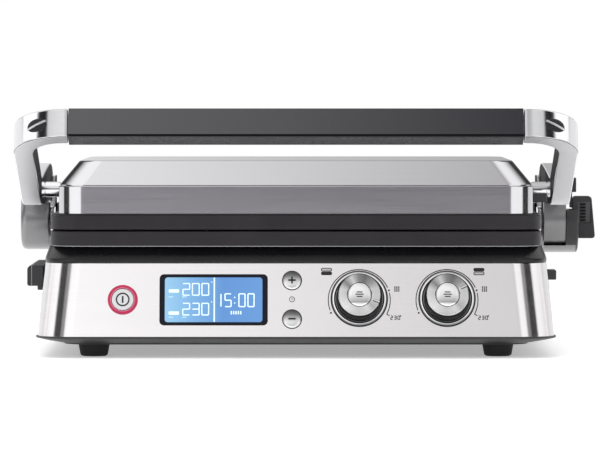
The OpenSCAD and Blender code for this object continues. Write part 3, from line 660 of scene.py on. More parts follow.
# ---- Handle arms ----
# Each arm is one chromed casting: a square-edged strip that leaves the grip, turns the corner, runs down and
# back to a knee beside the lid's pivot, and swells into a cranked lever over the hinge drum. A lug inside it
# runs on the fixed axle. The side towards the lid is painted near-black as painted shade, and the corner's
# slanted bevels are painted dark as a painted reflection.
mirror_chrome = grained_metal("polished_chrome", (0.75, 0.75, 0.765), 0.11, (90, 900, 900), 0.03, 0.03)
satin_chrome = grained_metal("satin_chrome", (0.60, 0.60, 0.615), 0.42, (300, 300, 300), 0.04, 0.03)
painted_reflection_edge = grained_metal("painted_dark_reflection_edge", (0.10, 0.10, 0.11), 0.3, (300, 300, 300), 0.04, 0.03)
deep_black_and_painted_shade = moulded("deep_black_and_painted_shade_moulding", (0.005, 0.005, 0.006), 0.6, 0.2, 2600, 0.12)
SLOPE = 20
BAR_Y, BAR_Z, STRIP = -181.5, 168.7, 22.6
ARM_IN, ARM_OUT, CORNER_R, GRIP_HALF = 199.5, 214.5, 39, 172
ARM_WIDE = ARM_OUT - ARM_IN


def set_in_loop(piece):
    """Moves a piece made in millimetre-true loop coordinates into place."""
    return put(piece, Matrix.Translation(mm(0, BAR_Y, BAR_Z)) @ Matrix.Rotation(radians(-SLOPE), 4, "X"))


HINGE_Y, HINGE_Z, SADDLE, LUG_X = 137, 98, 25.2, 196.2


def mirrored(piece):
    """Turns a piece into its other-side twin, with its faces pointing out again."""
    put(piece, Matrix.Translation((2 * mid_x, 0, 0)) @ Matrix.Scale(-1, 4, (1, 0, 0)))
    edit(piece)
    close_up()
    return settle()


def on_saddle(turn):
    """A place on the lever's hollow, turned round the hinge from straight back."""
    return HINGE_Y + SADDLE * cos(radians(turn)), HINGE_Z + SADDLE * sin(radians(turn))


# Pairs of lower and upper points along the lever, from the corner to the tail
lever = [((-46, 119.35), (-40, 141.2)), ((-32, 115.2), (-22, 135.0)), ((-18, 113.6), (-6, 135.4)),
         ((20, 113.8), (24, 138.2)), ((60, 113.8), (64, 141.6)), ((96, 113.8), (98, 143.8)),
         (on_saddle(146), (114, 144.3)), (on_saddle(125), (127, 143.7)), (on_saddle(100), (139, 141.4)),
         (on_saddle(80), (148, 137.4)), (on_saddle(60), (155, 131.4)), (on_saddle(44), (160, 123.4)),
         (on_saddle(34), (162, 114.6))]


INNER_X, CORNER_END = mm(ARM_IN + 0.4, -140, 0).xy
DOWN_THE_LOOP = Vector((0, -sin(radians(SLOPE)), -cos(radians(SLOPE))))


def arm_paint(face):
    """Painted shade in near-black towards the lid, satin below, a painted dark reflection on the corner's slanted
    bevels, and chrome elsewhere.
    """
    behind = face.center.y > CORNER_END
    # Painted shade: the side facing the lid, behind the corner, is painted near-black.
    if behind and face.normal.x < -0.8 and face.center.x < INNER_X:
        return deep_black_and_painted_shade
    if face.normal.z < -0.8:
        return satin_chrome
    # Painted reflection: the corner's slanted bevels are painted dark metal.
    dark_reflection_bevel = 0.5 < abs(face.normal.dot(DOWN_THE_LOOP)) < 0.9 and face.normal.x > -0.3
    return painted_reflection_edge if dark_reflection_bevel and not behind else mirror_chrome


def handle_arm(side):
    """The right arm or its twin: a plane is extruded, spun round the corner and drawn along the lever."""
    at_rest()
    bpy.ops.mesh.primitive_plane_add(size=1)
    bpy.ops.transform.resize(value=(STRIP / 1000, ARM_WIDE / 1000, 1))
    bpy.context.object.name = "arm"
    arm = put(bpy.context.object, Matrix.Translation((GRIP_HALF / 1000, ARM_WIDE / 2000, STRIP / 2000))
              @ Matrix.Rotation(radians(90), 4, "Y"))
    edit(arm)
    bpy.ops.mesh.select_all(action="SELECT")
    to_corner = (ARM_OUT - CORNER_R - GRIP_HALF) / 1000
    bpy.ops.mesh.extrude_region_move(TRANSFORM_OT_translate={"value": (to_corner, 0, 0)})
    bpy.ops.mesh.spin(steps=18, angle=radians(-90), center=((ARM_OUT - CORNER_R) / 1000, CORNER_R / 1000, 0),
                      axis=(0, 0, 1))
    bpy.ops.object.mode_set(mode="OBJECT")
    set_in_loop(arm)
    edit(arm)
    for low, high in lever:
        bpy.ops.mesh.extrude_region_move(TRANSFORM_OT_translate={"value": (0, 0, 0)})
        mesh = bmesh.from_edit_mesh(arm.data)
        end = sorted((v for v in mesh.verts if v.select), key=lambda v: v.co.z)
        for vert, goal in zip(end, (low, low, high, high)):
            vert.co.yz = mm(0, *goal).yz
        bmesh.update_edit_mesh(arm.data)
    choose("EDGE", lambda e: e.is_boundary)
    bpy.ops.mesh.edge_face_add()
    close_up()
    bpy.ops.object.mode_set(mode="OBJECT")
    soften(arm, 1.1, 3, 60)
    lug = turned([(6.05, 0), (15.2, 0), (16, 0.8), (16, 3.7), (15.2, 4.5), (6.05, 4.5)], sides=48)
    lay_along_x(lug, LUG_X, HINGE_Y, HINGE_Z)
    web = block((LUG_X, HINGE_Y - 15, HINGE_Z + 10), (LUG_X + 4.5, HINGE_Y + 15, HINGE_Z + 36))
    arm = joined(arm, lug, soften(web, 0.6, 2))
    paint_faces(arm, [mirror_chrome, deep_black_and_painted_shade, satin_chrome, painted_reflection_edge], arm_paint)
    return mirrored(arm) if side < 0 else arm


for side, name in ((1, "right"), (-1, "left")):
    finish(handle_arm(side), f"arm_{name}_casting", "handle", "bright_chrome", None, f"arm_{name}", angle=30)


# ---- Corner inserts ----
# A dark lens-shaped plug sits in the outside of each handle corner, where the arm is screwed to the grip's
# core. A slim bright bar crosses it at a slant.
gloss_black = moulded("gloss_black_moulding", (0.006, 0.007, 0.012), 0.2, 0.05, 900, 0.12)
plug_black = moulded("plug_moulding", (0.014, 0.014, 0.016), 0.5, 0.1, 1500, 0.2)
INSERT_TURN = radians(31.7)


def painted(piece, paint):
    """Gives a piece its paint."""
    piece.data.materials.append(paint)
    return piece


for side, name in ((-1, "left"), (1, "right")):
    plug = turned([(0, -0.8), (5.2, -0.8), (5.2, 0.0), (4.6, 0.45), (2.5, 0.75), (0, 0.8)], sides=40)
    put(painted(plug, plug_black), Matrix.Scale(1.72, 4, (1, 0, 0)))
    slash = painted(soften(loose_block(17.0, 1.7, 0.45, 1.25), 0.35, 2), satin_chrome)
    put(slash, Matrix.Rotation(radians(-16), 4, "Z"))
    for part in (plug, slash):
        edit(part)
        bpy.ops.mesh.select_all(action="SELECT")
        bpy.ops.mesh.subdivide(number_cuts=3)
        bpy.ops.object.mode_set(mode="OBJECT")
        for vert in part.data.vertices:
            across_mm, up_mm, out_mm = (v * 1000 for v in vert.co)
            bend = INSERT_TURN + across_mm / CORNER_R
            reach = CORNER_R + out_mm
            x, back = ARM_OUT - CORNER_R + reach * sin(bend), CORNER_R - reach * cos(bend)
            vert.co = Vector((x / 1000, back / 1000, (STRIP / 2 + up_mm) / 1000))
        set_in_loop(part)
    plug = joined(plug, slash)
    if side < 0:
        mirrored(plug)
    finish(plug, f"corner_insert_{name}", "handle", "gloss_black", None,
           *(["corner_inserts"] if side > 0 else []))


# ---- Grip ----
# A black satin sleeve over the steel core bar, all but flush with the chrome, with softened edges and a wide
# parting groove along the lower edge of its front face.
grip_black, grip_tree, grip_shader, grip_place = new_paint("grip_moulding", (0.05, 0.05, 0.055), 0.0, 0.36)
grip_shader.inputs["Specular IOR Level"].default_value = 0.45
grip_along = math_node(grip_tree, "MULTIPLY_ADD", split_node(grip_tree, grip_place)[0], 2.4)
# Painted light: the sleeve's colour runs from lighter at the left to darker at the right, standing in for the
# light falling off across it.
grip_painted_falloff = ramp_node(grip_tree, [(0.1, (0.062, 0.062, 0.066)), (0.45, (0.045, 0.045, 0.049)),
                                    (0.9, (0.008, 0.007, 0.011))], grip_along)
grip_tree.links.new(grip_painted_falloff, grip_shader.inputs["Base Color"])
bumps(grip_tree, grip_shader, noise_node(grip_tree, grip_place, (2200, 2200, 2200), 2.0), 0.1, 0.00006)


def score(place, across):
    """Scores the edited mesh all round with a line of edges, square to a direction."""
    bpy.ops.mesh.select_all(action="SELECT")
    bpy.ops.mesh.bisect(plane_co=place, plane_no=across)


grip_middle = Matrix.Translation((0, 0.0085, 0))
grip = put(loose_block(2 * GRIP_HALF - 0.8, 17.6, -0.3, 22.9, name="grip"), grip_middle)
GROOVE_LOW, GROOVE_HIGH = 0.0004, 0.0022
edit(grip)
for height in (GROOVE_LOW, GROOVE_HIGH):
    score((0, 0, height), (0, 0, 1))
choose("FACE", lambda f: GROOVE_LOW < f.calc_center_median().z < GROOVE_HIGH and f.normal.y < -0.9)
bpy.ops.mesh.extrude_region_move(TRANSFORM_OT_translate={"value": (0, 0.0009, 0)})
bpy.ops.object.mode_set(mode="OBJECT")
cut(grip, put(loose_block(400, 9.2, 4.75, 17.85), grip_middle))
soften(grip, 0.5, 2, 50)


def grip_paint(face):
    """Painted shade: near-black in the groove, and darker and glossier below."""
    if face.center.y < 0.0007 and GROOVE_LOW - 0.0002 < face.center.z < GROOVE_HIGH + 0.0002:
        return deep_black_and_painted_shade
    return deck_black if face.normal.z < -0.8 else grip_black


paint_faces(grip, [grip_black, deep_black_and_painted_shade, deck_black], grip_paint)
set_in_loop(grip)
finish(grip, "handle_grip_sleeve", "handle", "grip_plastic", None, "handle_grip")


# ---- Pivot pins ----
# The lid hangs between the arms on two pins. A polished collar shows between the lid and each arm, with a
# thin washer against the arm.
for side, name in ((-1, "left"), (1, "right")):
    pin = turned([(0, 168), (3.6, 168), (4, 168.4), (4, 180.6), (6, 180.6), (6, 183.4), (5.5, 183.8),
                  (5.5, 184.6), (6, 185), (6, 196.2), (5.5, 196.6), (5.5, 197.2), (6, 197.6), (6, 199.45),
                  (0, 199.45)], sides=40)
    lay_along_x(pin, 0, PIVOT_Y, PIVOT_Z, side)
    finish(pin, f"pivot_pin_{name}", "handle", "bright_chrome", mirror_chrome,
           *(["pivot_pins"] if side > 0 else []))


# ---- Hinge drums ----
# Two turned drums carry the handle. The left one is closed at its outer end and shows a satin turned face;
# the right one carries the black cap with the height selector.
satin = grained_metal("satin_cast_metal", (0.25, 0.25, 0.255), 0.32, (500, 500, 500), 0.06, 0.05)


def on_hinge(piece, x, side=1):
    """Moves a turned piece onto the hinge axis, its foot at x and its length outwards."""
    return lay_along_x(piece, side * x, HINGE_Y, HINGE_Z, side)


DRUM_X = 201.2
left_drum = turned([(13, 0), (13, 14), (6.05, 14), (6.05, 21.3), (0.5, 21.3), (0.5, 22.8), (20.5, 22.8),
                    (22.6, 22.1), (24, 20.4), (24.5, 18), (24.5, 1), (24, 0)], sides=72)
finish(on_hinge(left_drum, DRUM_X, -1), "drum_left_turned", "hinge_drums", "satin_metal", satin, "drum_left")
right_drum = turned([(13, 0), (13, 14), (7.05, 14), (7.05, 18.8), (24, 18.8), (24.5, 18.3), (24.5, 0.8),
                     (23.8, 0)], sides=72)
finish(on_hinge(right_drum, DRUM_X), "drum_right_turned", "hinge_drums", "satin_metal", satin, "drum_right")

CAP_X = 220
cap = on_hinge(turned([(7.5, 0), (7.5, 3.6), (21.6, 3.6), (21.6, 10), (25, 10), (26.4, 9.4), (27, 8),
                       (27, -18), (24.8, -18), (24.8, -0.2), (24.6, 0)], sides=72), CAP_X)
cut(cap, block((190, HINGE_Y - 60, 106), (260, HINGE_Y + 60, 160)),
    block((190, HINGE_Y - 60, 77), (CAP_X - 0.1, HINGE_Y + 60, 160)))
soften(cap, 0.6, 2, 50)
cap_face_x = mm(CAP_X - 0.5, 0, 0).x
paint_faces(cap, [black_plastic, satin], lambda f: satin if f.center.x < cap_face_x else black_plastic)
finish(cap, "drum_cap_right_moulding", "hinge_drums", "black_plastic", None, "drum_cap_right")


# ---- Height selector and flat-open tab ----
# The selector is a black paddle on the hinge axis, with a recessed thumb panel and six ridges. The tab above
# it is pulled to let the lid fall open flat; its block is ridged too.
selector = block((226, HINGE_Y - 9, 82.7), (244.3, HINGE_Y + 9, 117), "selector")
edit(selector)
choose("FACE", lambda f: f.normal.z > 0.9)
bpy.ops.transform.resize(value=(0.84, 0.76, 1))
shift(x=-1.4)
round_corners(2.6, 4, lambda e: abs((e.verts[0].co - e.verts[1].co).normalized().y) > 0.9)
settle()
cut(selector, block((229.5, HINGE_Y - 20, 95), (241, HINGE_Y - 6.6, 114.6)))
soften(selector, 0.5, 2, 30)
painted(selector, black_plastic)
thumb_panel = soften(block((229.8, HINGE_Y - 6.9, 95.3), (240.6, HINGE_Y - 6.2, 112.2)), 0.3, 2)
painted(thumb_panel, moulded("thumb_panel_moulding", (0.045, 0.045, 0.048), 0.5, 0.5, 1800))
ridges = []
for low in (96.6 + i * 2.6 for i in range(6)):
    ridge = block((232.0, HINGE_Y - 8.0, low), (236.6, HINGE_Y - 6.5, low + 1.5))
    ridges.append(painted(soften(ridge, 0.5, 3), deep_black_and_painted_shade))
stem = painted(on_hinge(rod(7, -2.1, 6.4, 40), CAP_X), black_plastic)
selector = joined(selector, stem, thumb_panel, *ridges)
finish(selector, "height_selector_paddle", "selector", "black_plastic", None, "height_selector")

tab = soften(block((224, HINGE_Y - 6, 107.6), (225.7, HINGE_Y + 6, 122), "tab"), 0.3, 2)
tab_block = soften(block((224, HINGE_Y - 7, 120.3), (229, HINGE_Y + 7, 132)), 0.7, 2)
tab_ridges = [soften(block((224.3, HINGE_Y - 7.5, low), (228.7, HINGE_Y + 7.5, low + 1.1)), 0.3, 1)
              for low in (121.8 + i * 2.4 for i in range(4))]
tab_pin = lay_along_x(rod(1.5, 216.6, 224.2, 24), 0, HINGE_Y, 113)
tab = joined(tab, tab_block, tab_pin, *tab_ridges)
finish(tab, "flat_release_tab_moulding", "release_tab", "black_plastic", black_plastic, "flat_release_tab")


# ---- Hinge towers ----
# Two black brackets are screwed to the deck's rear ledge. Each holds the end of a fixed axle beside the lid.
TOWER_X = 189.7
for side, name in ((-1, "left"), (1, "right")):
    tower = turned([(6, 0), (13.2, 0), (14, 0.8), (14, 5), (13.2, 5.8), (6, 5.8)], sides=48)
    on_hinge(tower, TOWER_X)
    column = cut(block((TOWER_X, HINGE_Y - 13, 84.6), (195.5, HINGE_Y + 9, HINGE_Z)),
                 on_hinge(rod(13.4, -9, 9, 48), 192))
    shelf = block((TOWER_X - 25, HINGE_Y - 13, 84.6), (195.5, HINGE_Y + 9, 87.4))
    tower = joined(tower, soften(column, 0.5, 2), soften(shelf, 0.6, 2))
    if side < 0:
        mirrored(tower)
    finish(tower, f"hinge_tower_{name}", "base", "black_plastic", black_plastic,
           *(["hinge_towers"] if side > 0 else []))


# ---- Drip tray ----
# The tray slides out of the left side. Its black grip stands proud of the steel, with rounded edges, a
# cover strip set off by a thin grey line painted as a highlight, and a narrow foot below.
tray = cut(block((-197, -52, 50), (60, 52, 65.5)), block((-195, -50, 52), (58, 50, 80)))
soften(tray, 0.5, 2)
finish(tray, "drip_tray_pan", "tray", "plate_coating", coating, "drip_tray")
GRIP_OUT, GRIP_LOW, GRIP_TOP = -209.2, 51.5, 67.5
tray_grip = block((GRIP_OUT, -60, GRIP_LOW), (-197, 60, GRIP_TOP), "tray_grip")
outer_edge = mm(GRIP_OUT + 0.5, 0, 0).x
edit(tray_grip)
round_corners(3.6, 6, lambda e: all(v.co.x < outer_edge and v.co.z > 0.06 for v in e.verts))
round_corners(1.8, 4, lambda e: all(v.co.x < outer_edge and v.co.z < 0.055 for v in e.verts))
settle()
strip_x = [mm(GRIP_OUT + inset, 0, 0).x for inset in (3.1, 3.7)]
edit(tray_grip)
for x in strip_x:
    score((x, 0, 0), (1, 0, 0))
bpy.ops.object.mode_set(mode="OBJECT")
# Painted highlight: a thin grey band between the two scored lines stands for the light along the cover strip's
# edge.
painted_highlight_grey = moulded("tray_grip_painted_highlight", (0.22, 0.22, 0.23), 0.4)
paint_faces(tray_grip, [black_plastic, painted_highlight_grey],
            lambda f: painted_highlight_grey if strip_x[0] < f.center.x < strip_x[1] else black_plastic)
soften(tray_grip, 0.3, 2, 60)
tray_step = painted(soften(block((-201.2, -60, 48.3), (-197, 60, 51.5)), 0.4, 2), black_plastic)
finish(joined(tray_grip, tray_step), "tray_grip_moulding", "tray", "black_plastic", None, "tray_grip")


# ---- Release buttons ----
# One black push button in the base frees the lower plate, one in the lid's skirt frees the upper plate.
for low, high, body in (((184, -61, 56.3), (202.6, -39, 63.8), "lower_release"),
                        ((176, -81, 117.1), (194.4, -59, 124.1), "upper_release")):
    finish(soften(block(low, high), 0.9, 3), f"{body}_button_key", body, "black_plastic", black_plastic,
           f"{body}_button")


# ---- Rear cover and cord gland ----
# A black moulded cover closes the back. It has a row of upright vents and a rubber gland for the cord.
cover_back = block((-149.7, REAR - 3.4, 24.3), (149.7, REAR, 65.7), "back")
soften(cover_back, 0.6, 2)
cut(cover_back, *[block((28 + i * 14, REAR - 9, 33), (32 + i * 14, REAR + 5, 57)) for i in range(-6, 7)])
gland_place = Matrix.Translation(mm(-125, REAR, 36)) @ Matrix.Rotation(radians(-90), 4, "X")
cut(cover_back, put(rod(6.6, -9, 9, 40), gland_place))
finish(cover_back, "rear_cover_moulding", "base", "black_plastic", black_plastic, "rear_cover")
gland = turned([(0, -8), (6.5, -8), (6.5, 0.1), (8.5, 0.1), (8.5, 2.6), (7.6, 3.5), (4.2, 3.5), (3.4, 2.6),
                (3.4, 0.5), (0, 0.5)], sides=48)
finish(put(gland, gland_place), "cord_gland_grommet", "base", "foot_rubber", rubber, "cord_gland")


# ---- Power button ----
# A silver button with a painted on-off sign, inside a glossy red ring pressed into the steel.
def printed_ink(name, color):
    """Screen-printed ink."""
    return moulded(name, color, 0.5, 0.1, 3000, 0.3)


red_ring = moulded("red_gloss_moulding", (0.44, 0.022, 0.075), 0.26, 0.04, 900, 0.3)
pink_edge = moulded("pale_red_edge", (0.70, 0.20, 0.30), 0.3, 0.04, 900, 0.3)
ink = printed_ink("black_ink", (0.012, 0.012, 0.013))
key_silver = grained_metal("satin_key_metal", (0.66, 0.66, 0.67), 0.26, (300, 300, 300), 0.05, 0.04)
ring = turned([(8.85, 0.9), (9.2, 1.2), (10.9, 1.2), (11.3, 0.95), (11.5, 0.5), (11.5, 0.05), (10.2, 0.05),
               (10.2, -8), (8.85, -8)], sides=72)
ring = joined(painted(ring, red_ring), painted(flat_ring(9.35, 8.87, 0.4, 1.24), pink_edge))
finish(set_in_panel(ring, POWER_X), "power_ring_moulding", "base", "red_plastic", None, "power_ring")
power = turned([(0, -6), (8.55, -6), (8.55, 0.9), (8.25, 1.25), (7.8, 1.35), (0, 1.4)])
sign = joined(flat_ring(5.3, 4.2, 1.2, 1.46), loose_block(1.3, 5.4, 1.2, 1.48, 0.3))
power = joined(painted(power, key_silver), painted(sign, ink))
finish(set_in_panel(power, POWER_X), "power_button_key", "power", "bright_chrome", None, "power_button")


# ---- Display ----
# A black frame holds a lit blue liquid crystal display behind a flush window. Its figures and signs are pale
# segments with a darker edge, and a pale upright rule parts the plate heats from the clock.
bezel = cut(loose_block(LCD_W, LCD_H, 0.0, 0.6, 3.5), loose_block(LCD_W - 8.1, LCD_H - 4.8, -9, 9, 2.3))
sleeve = cut(loose_block(LCD_W - 2.4, LCD_H - 2.4, -6, 0.1, 2.5),
             loose_block(LCD_W - 8, LCD_H - 4.8, -9, 9, 2.3))
finish(set_in_panel(joined(soften(bezel, 0.25, 2), sleeve), LCD_X), "lcd_bezel_frame", "base", "gloss_black",
       gloss_black, "lcd_bezel")

lit, lit_tree, lit_shader, lit_place = new_paint("lit_display", (0.05, 0.12, 0.2), 0.0, 0.12)
screen_left, screen_wide = mm(LCD_X - 37.2, 0, 0).x, 0.0744
lit_from_left = math_node(lit_tree, "SUBTRACT", split_node(lit_tree, lit_place)[0], screen_left)
lit_color = ramp_node(lit_tree, [(0.0, (0.33, 0.58, 0.78)), (0.3, (0.17, 0.37, 0.66)),
                                 (0.6, (0.08, 0.20, 0.54)), (1.0, (0.10, 0.24, 0.58))],
                      math_node(lit_tree, "DIVIDE", lit_from_left, screen_wide))
lit_dots = ramp_node(lit_tree, [(0.4, 0.6), (0.6, 1.0)],
                     noise_node(lit_tree, lit_place, (900, 900, 900), 1.0))
lit_glow = mix_node(lit_tree, "MULTIPLY", 0.06, lit_color, lit_dots)
lit_tree.links.new(lit_glow, lit_shader.inputs["Emission Color"])
lit_shader.inputs["Emission Strength"].default_value = 0.85
lit_shader.inputs["Specular IOR Level"].default_value = 0.3
screen = loose_block(LCD_W - 8.2, LCD_H - 5, -5, 0.15, 2.2)
finish(set_in_panel(screen, LCD_X), "lcd_screen_glass", "base", "display_glass", lit, "lcd_screen")



def lit_segment(name, color, dim, bright, strength):
    """A lit segment that is a little uneven, from a dim to a bright shade."""
    paint, tree, shader, place = new_paint(name, color, 0.0, 0.4)
    glow = ramp_node(tree, [(0.3, dim), (0.7, bright)], noise_node(tree, place, (60, 60, 60)))
    tree.links.new(glow, shader.inputs["Emission Color"])
    shader.inputs["Emission Strength"].default_value = strength
    return paint


glyphs_lit = lit_segment("display_segment", (0.3, 0.4, 0.5), (0.66, 0.82, 0.93), (0.76, 0.88, 0.97), 0.8)
glyph_edge = lit_segment("display_segment_edge", (0.05, 0.1, 0.2), (0.10, 0.22, 0.42), (0.13, 0.26, 0.48),
                         0.7)
SEGMENTS = {"0": "abcdef", "1": "bc", "2": "abged", "3": "abgcd", "5": "afgcd"}


def flat_bar(x, up, wide, high, low=0.15, top=0.22, corner=0.0):
    """A thin bar with its middle at x and up, low to top over the panel."""
    return put(loose_block(wide, high, low, top, corner), Matrix.Translation((x / 1000, up / 1000, 0)))


def figure(digit, x, up, wide, high, stroke, low=0.15, top=0.22):
    """A seven-segment figure centred on x and up."""
    w, h, gap = wide - stroke, (high - stroke) / 2, stroke * 0.18
    spots = {"a": (0, h, True), "g": (0, 0, True), "d": (0, -h, True), "f": (-w / 2, h / 2, False),
             "b": (w / 2, h / 2, False), "e": (-w / 2, -h / 2, False), "c": (w / 2, -h / 2, False)}
    parts = []
    for key in SEGMENTS[digit]:
        dx, dy, flat = spots[key]
        size = (w - gap, stroke) if flat else (stroke, h - gap)
        parts.append(flat_bar(x + dx, up + dy, *size, low, top))
    return parts


def figures(text, left, up, wide, high, stroke, pitch, low=0.15, top=0.22):
    """A row of figures from the left, with a 1 drawn in and a colon close to its neighbours."""
    parts = []
    place = left + wide / 2
    for letter in text:
        if letter == ":":
            place -= pitch * 0.25
            parts += [flat_bar(place - wide * 0.02, up + s * high * 0.2, stroke, stroke, low, top)
                      for s in (-1, 1)]
            place += pitch * 0.78
        else:
            drawn_in = wide * 0.15 if letter == "1" else 0
            parts += figure(letter, place - drawn_in, up, wide, high, stroke, low, top)
            place += pitch
    return parts


def dot(x, up, radius, low=0.02, top=0.06):
    """A thin round dot at x and up."""
    return put(rod(radius, low, top, 20), Matrix.Translation((x / 1000, up / 1000, 0)))


def from_panel(z):
    """Height up the panel, from its middle, of a place z above the table."""
    return (z - (BAND_FOOT + BAND_TOP) / 2) / cos(radians(LEAN))


edges = []
glyphs = []
for parts, grow, low, top in ((edges, 0.3, 0.15, 0.18), (glyphs, 0.0, 0.17, 0.22)):
    stroke = 0.95 + grow
    for text, up in (("200", 52.2), ("230", 37.3)):
        parts += figures(text, -86.6 - LCD_X - grow / 2, from_panel(up), 6.1 + grow, 10.0 + grow, stroke,
                         7.25, low, top)
        parts.append(dot(-64.2 - LCD_X, from_panel(up) + 5.6, 0.5 + grow / 2, low, top))
    for up in (51.0, 34.3):
        parts.append(flat_bar(-93.0 - LCD_X, from_panel(up), 8.0 + grow, 2.7 + grow, low, top, 0.5))
    parts += figures("15:00", -61.4 - LCD_X - grow / 2, from_panel(44.0), 5.6 + grow, 10.9 + grow, stroke,
                     6.9, low, top)
    parts += [flat_bar(-49.2 - LCD_X + k * 1.8, from_panel(34.6), 1.0 + grow, 2.6 + grow, low, top)
              for k in range(5)]
for up in (46.5, 31.2):
    for start in (-96.6, -86.4):
        glyphs += [flat_bar(start - LCD_X + k * 0.9, from_panel(up), 0.45, 0.7) for k in range(4)]
finish(set_in_panel(joined(*edges), LCD_X), "lcd_segment_edges", "base", "display_glass", glyph_edge)
glyphs.append(flat_bar(-62.2 - LCD_X, 0, 1.1, LCD_H - 5.4))
finish(set_in_panel(joined(*glyphs), LCD_X), "lcd_segments", "base", "display_glass", glyphs_lit)


# ---- Timer keys ----
# Two domed silver keys with a painted plus and minus, and a small clock sign between them. A painted
# reflection is graded up each key's metal, darker towards the top.
def silver_with_painted_reflection(name, x, up, half, stops):
    """Satin metal with a painted reflection graded up the panel, over half above and below a place on it."""
    paint, tree, shader, place = new_paint(name, (0.7, 0.7, 0.7), 1.0, 0.28)
    low = mm(*on_panel(x, up - half)).z
    span = mm(*on_panel(x, up + half)).z - low
    rise = math_node(tree, "DIVIDE", math_node(tree, "SUBTRACT", split_node(tree, place)[2], low), span)
    tree.links.new(ramp_node(tree, stops, rise), shader.inputs["Base Color"])
    bumps(tree, shader, noise_node(tree, place, (300, 300, 300)), 0.05, 0.00005)
    return paint


for up, body in ((TIMER_UP, "timer_plus"), (-TIMER_UP, "timer_minus")):
    name = body + "_button"
    key = turned([(0, -6), (7.15, -6), (7.15, 0.3), (6.8, 0.8), (5.6, 1.2), (3, 1.55), (0, 1.7)], sides=56)
    # Painted reflection: the key's metal is painted darker towards its top.
    painted(key, silver_with_painted_reflection(name + "_metal", TIMER_X, up, 7.1,
                               [(0.0, 0.9), (0.4, 0.62), (0.75, 0.2), (1.0, 0.08)]))
    mark = loose_block(5.6, 1.3, 1.4, 1.8)
    if up > 0:
        mark = joined(mark, loose_block(1.2, 5.4, 1.4, 1.8))
    key = set_in_panel(joined(key, painted(mark, ink)), TIMER_X, up)
    finish(key, name + "_key", body, "bright_chrome", None, name)
    collar = flat_ring(7.62, 7.3, -0.9, 0.12)
    finish(set_in_panel(collar, TIMER_X, up), name + "_collar", "base", "black_plastic", ink)


# ---- Dial bezels and dials ----
# Each dial turns in a polished ring. The body is black and slightly tapered, its face a radially brushed
# disc with a pointer slot, and a push button sits in its middle.
def radial_metal(name, color, roughness, center):
    """Metal brushed outwards from a centre on the leaning panel, with a painted reflection: lighter and darker
    sectors round the centre.
    """
    paint, tree, shader, place = new_paint(name, color, 1.0, roughness)
    mapping = tree.nodes.new("ShaderNodeMapping")
    mapping.vector_type = "TEXTURE"
    mapping.inputs["Location"].default_value = center
    mapping.inputs["Rotation"].default_value = (radians(90 - LEAN), 0, 0)
    tree.links.new(place, mapping.inputs["Vector"])
    across, up = split_node(tree, mapping.outputs[0])[:2]
    turn = math_node(tree, "ARCTAN2", up, across)
    spokes = tree.nodes.new("ShaderNodeTexNoise")
    spokes.noise_dimensions = "1D"
    spokes.inputs["Scale"].default_value = 60.0
    spokes.inputs["Detail"].default_value = 4.0
    tree.links.new(turn, spokes.inputs["W"])
    # Painted reflection: the colour is darkened in fixed sectors round the dial's centre.
    painted_reflection_fan = ramp_node(tree, [(0.0, 0.80), (0.12, 1.0), (0.24, 0.82), (0.33, 0.98), (0.38, 0.66), (0.46, 0.86),
                           (0.56, 0.84), (0.62, 0.5), (0.70, 0.24), (0.76, 0.36), (0.82, 0.84), (0.885, 0.32),
                           (0.95, 0.80)],
                    math_node(tree, "ADD", math_node(tree, "DIVIDE", turn, 2 * pi), 0.5))
    streaks = ramp_node(tree, [(0.3, tuple(c * 0.8 for c in color)), (0.7, color)], spokes.outputs["Fac"])
    tree.links.new(mix_node(tree, "MULTIPLY", 1.0, streaks, painted_reflection_fan), shader.inputs["Base Color"])
    bumps(tree, shader, spokes.outputs["Fac"], 0.12, 0.00005)
    return paint


def bezel_paint(face):
    """Ink on the outer edge as a painted dark outline, satin on its slope and in the cup as a painted darker
    reflection, and polish on the crest.
    """
    reach = face.center.xy.length * 1000
    if reach > 21.05:
        return ink
    return satin if reach > 20.1 or face.center.z < 0.0009 else mirror_chrome


def swing_out(piece, angle, across, up=0.0):
    """Moves a piece across and up, then swings it round the dial's centre."""
    return put(piece, Matrix.Rotation(radians(angle), 4, "Z")
               @ Matrix.Translation((across / 1000, up / 1000, 0)))


DIAL_SIDES = 88
bezels = []
for x in KNOB_XS:
    ring = turned([(4.1, 0.05), (21.2, 0.05), (21.25, 1.0), (20.9, 1.7), (20.2, 2.0), (19.1, 2.0),
                   (18.5, 1.7), (18.25, 1.1), (18.25, 0.5), (4.1, 0.5)], sides=DIAL_SIDES)
    paint_faces(ring, [mirror_chrome, satin, ink], bezel_paint)
    # Painted shadow: a thin ink ring round the bezel, on the panel.
    shadow_line = painted(flat_ring(21.9, 21.1, 0.0, 0.06, DIAL_SIDES), ink)
    bezels.append(set_in_panel(joined(ring, shadow_line), x, KNOB_UP))
finish(joined(*bezels), "knob_bezel_rings", "base", "bright_chrome", None, "knob_bezels")

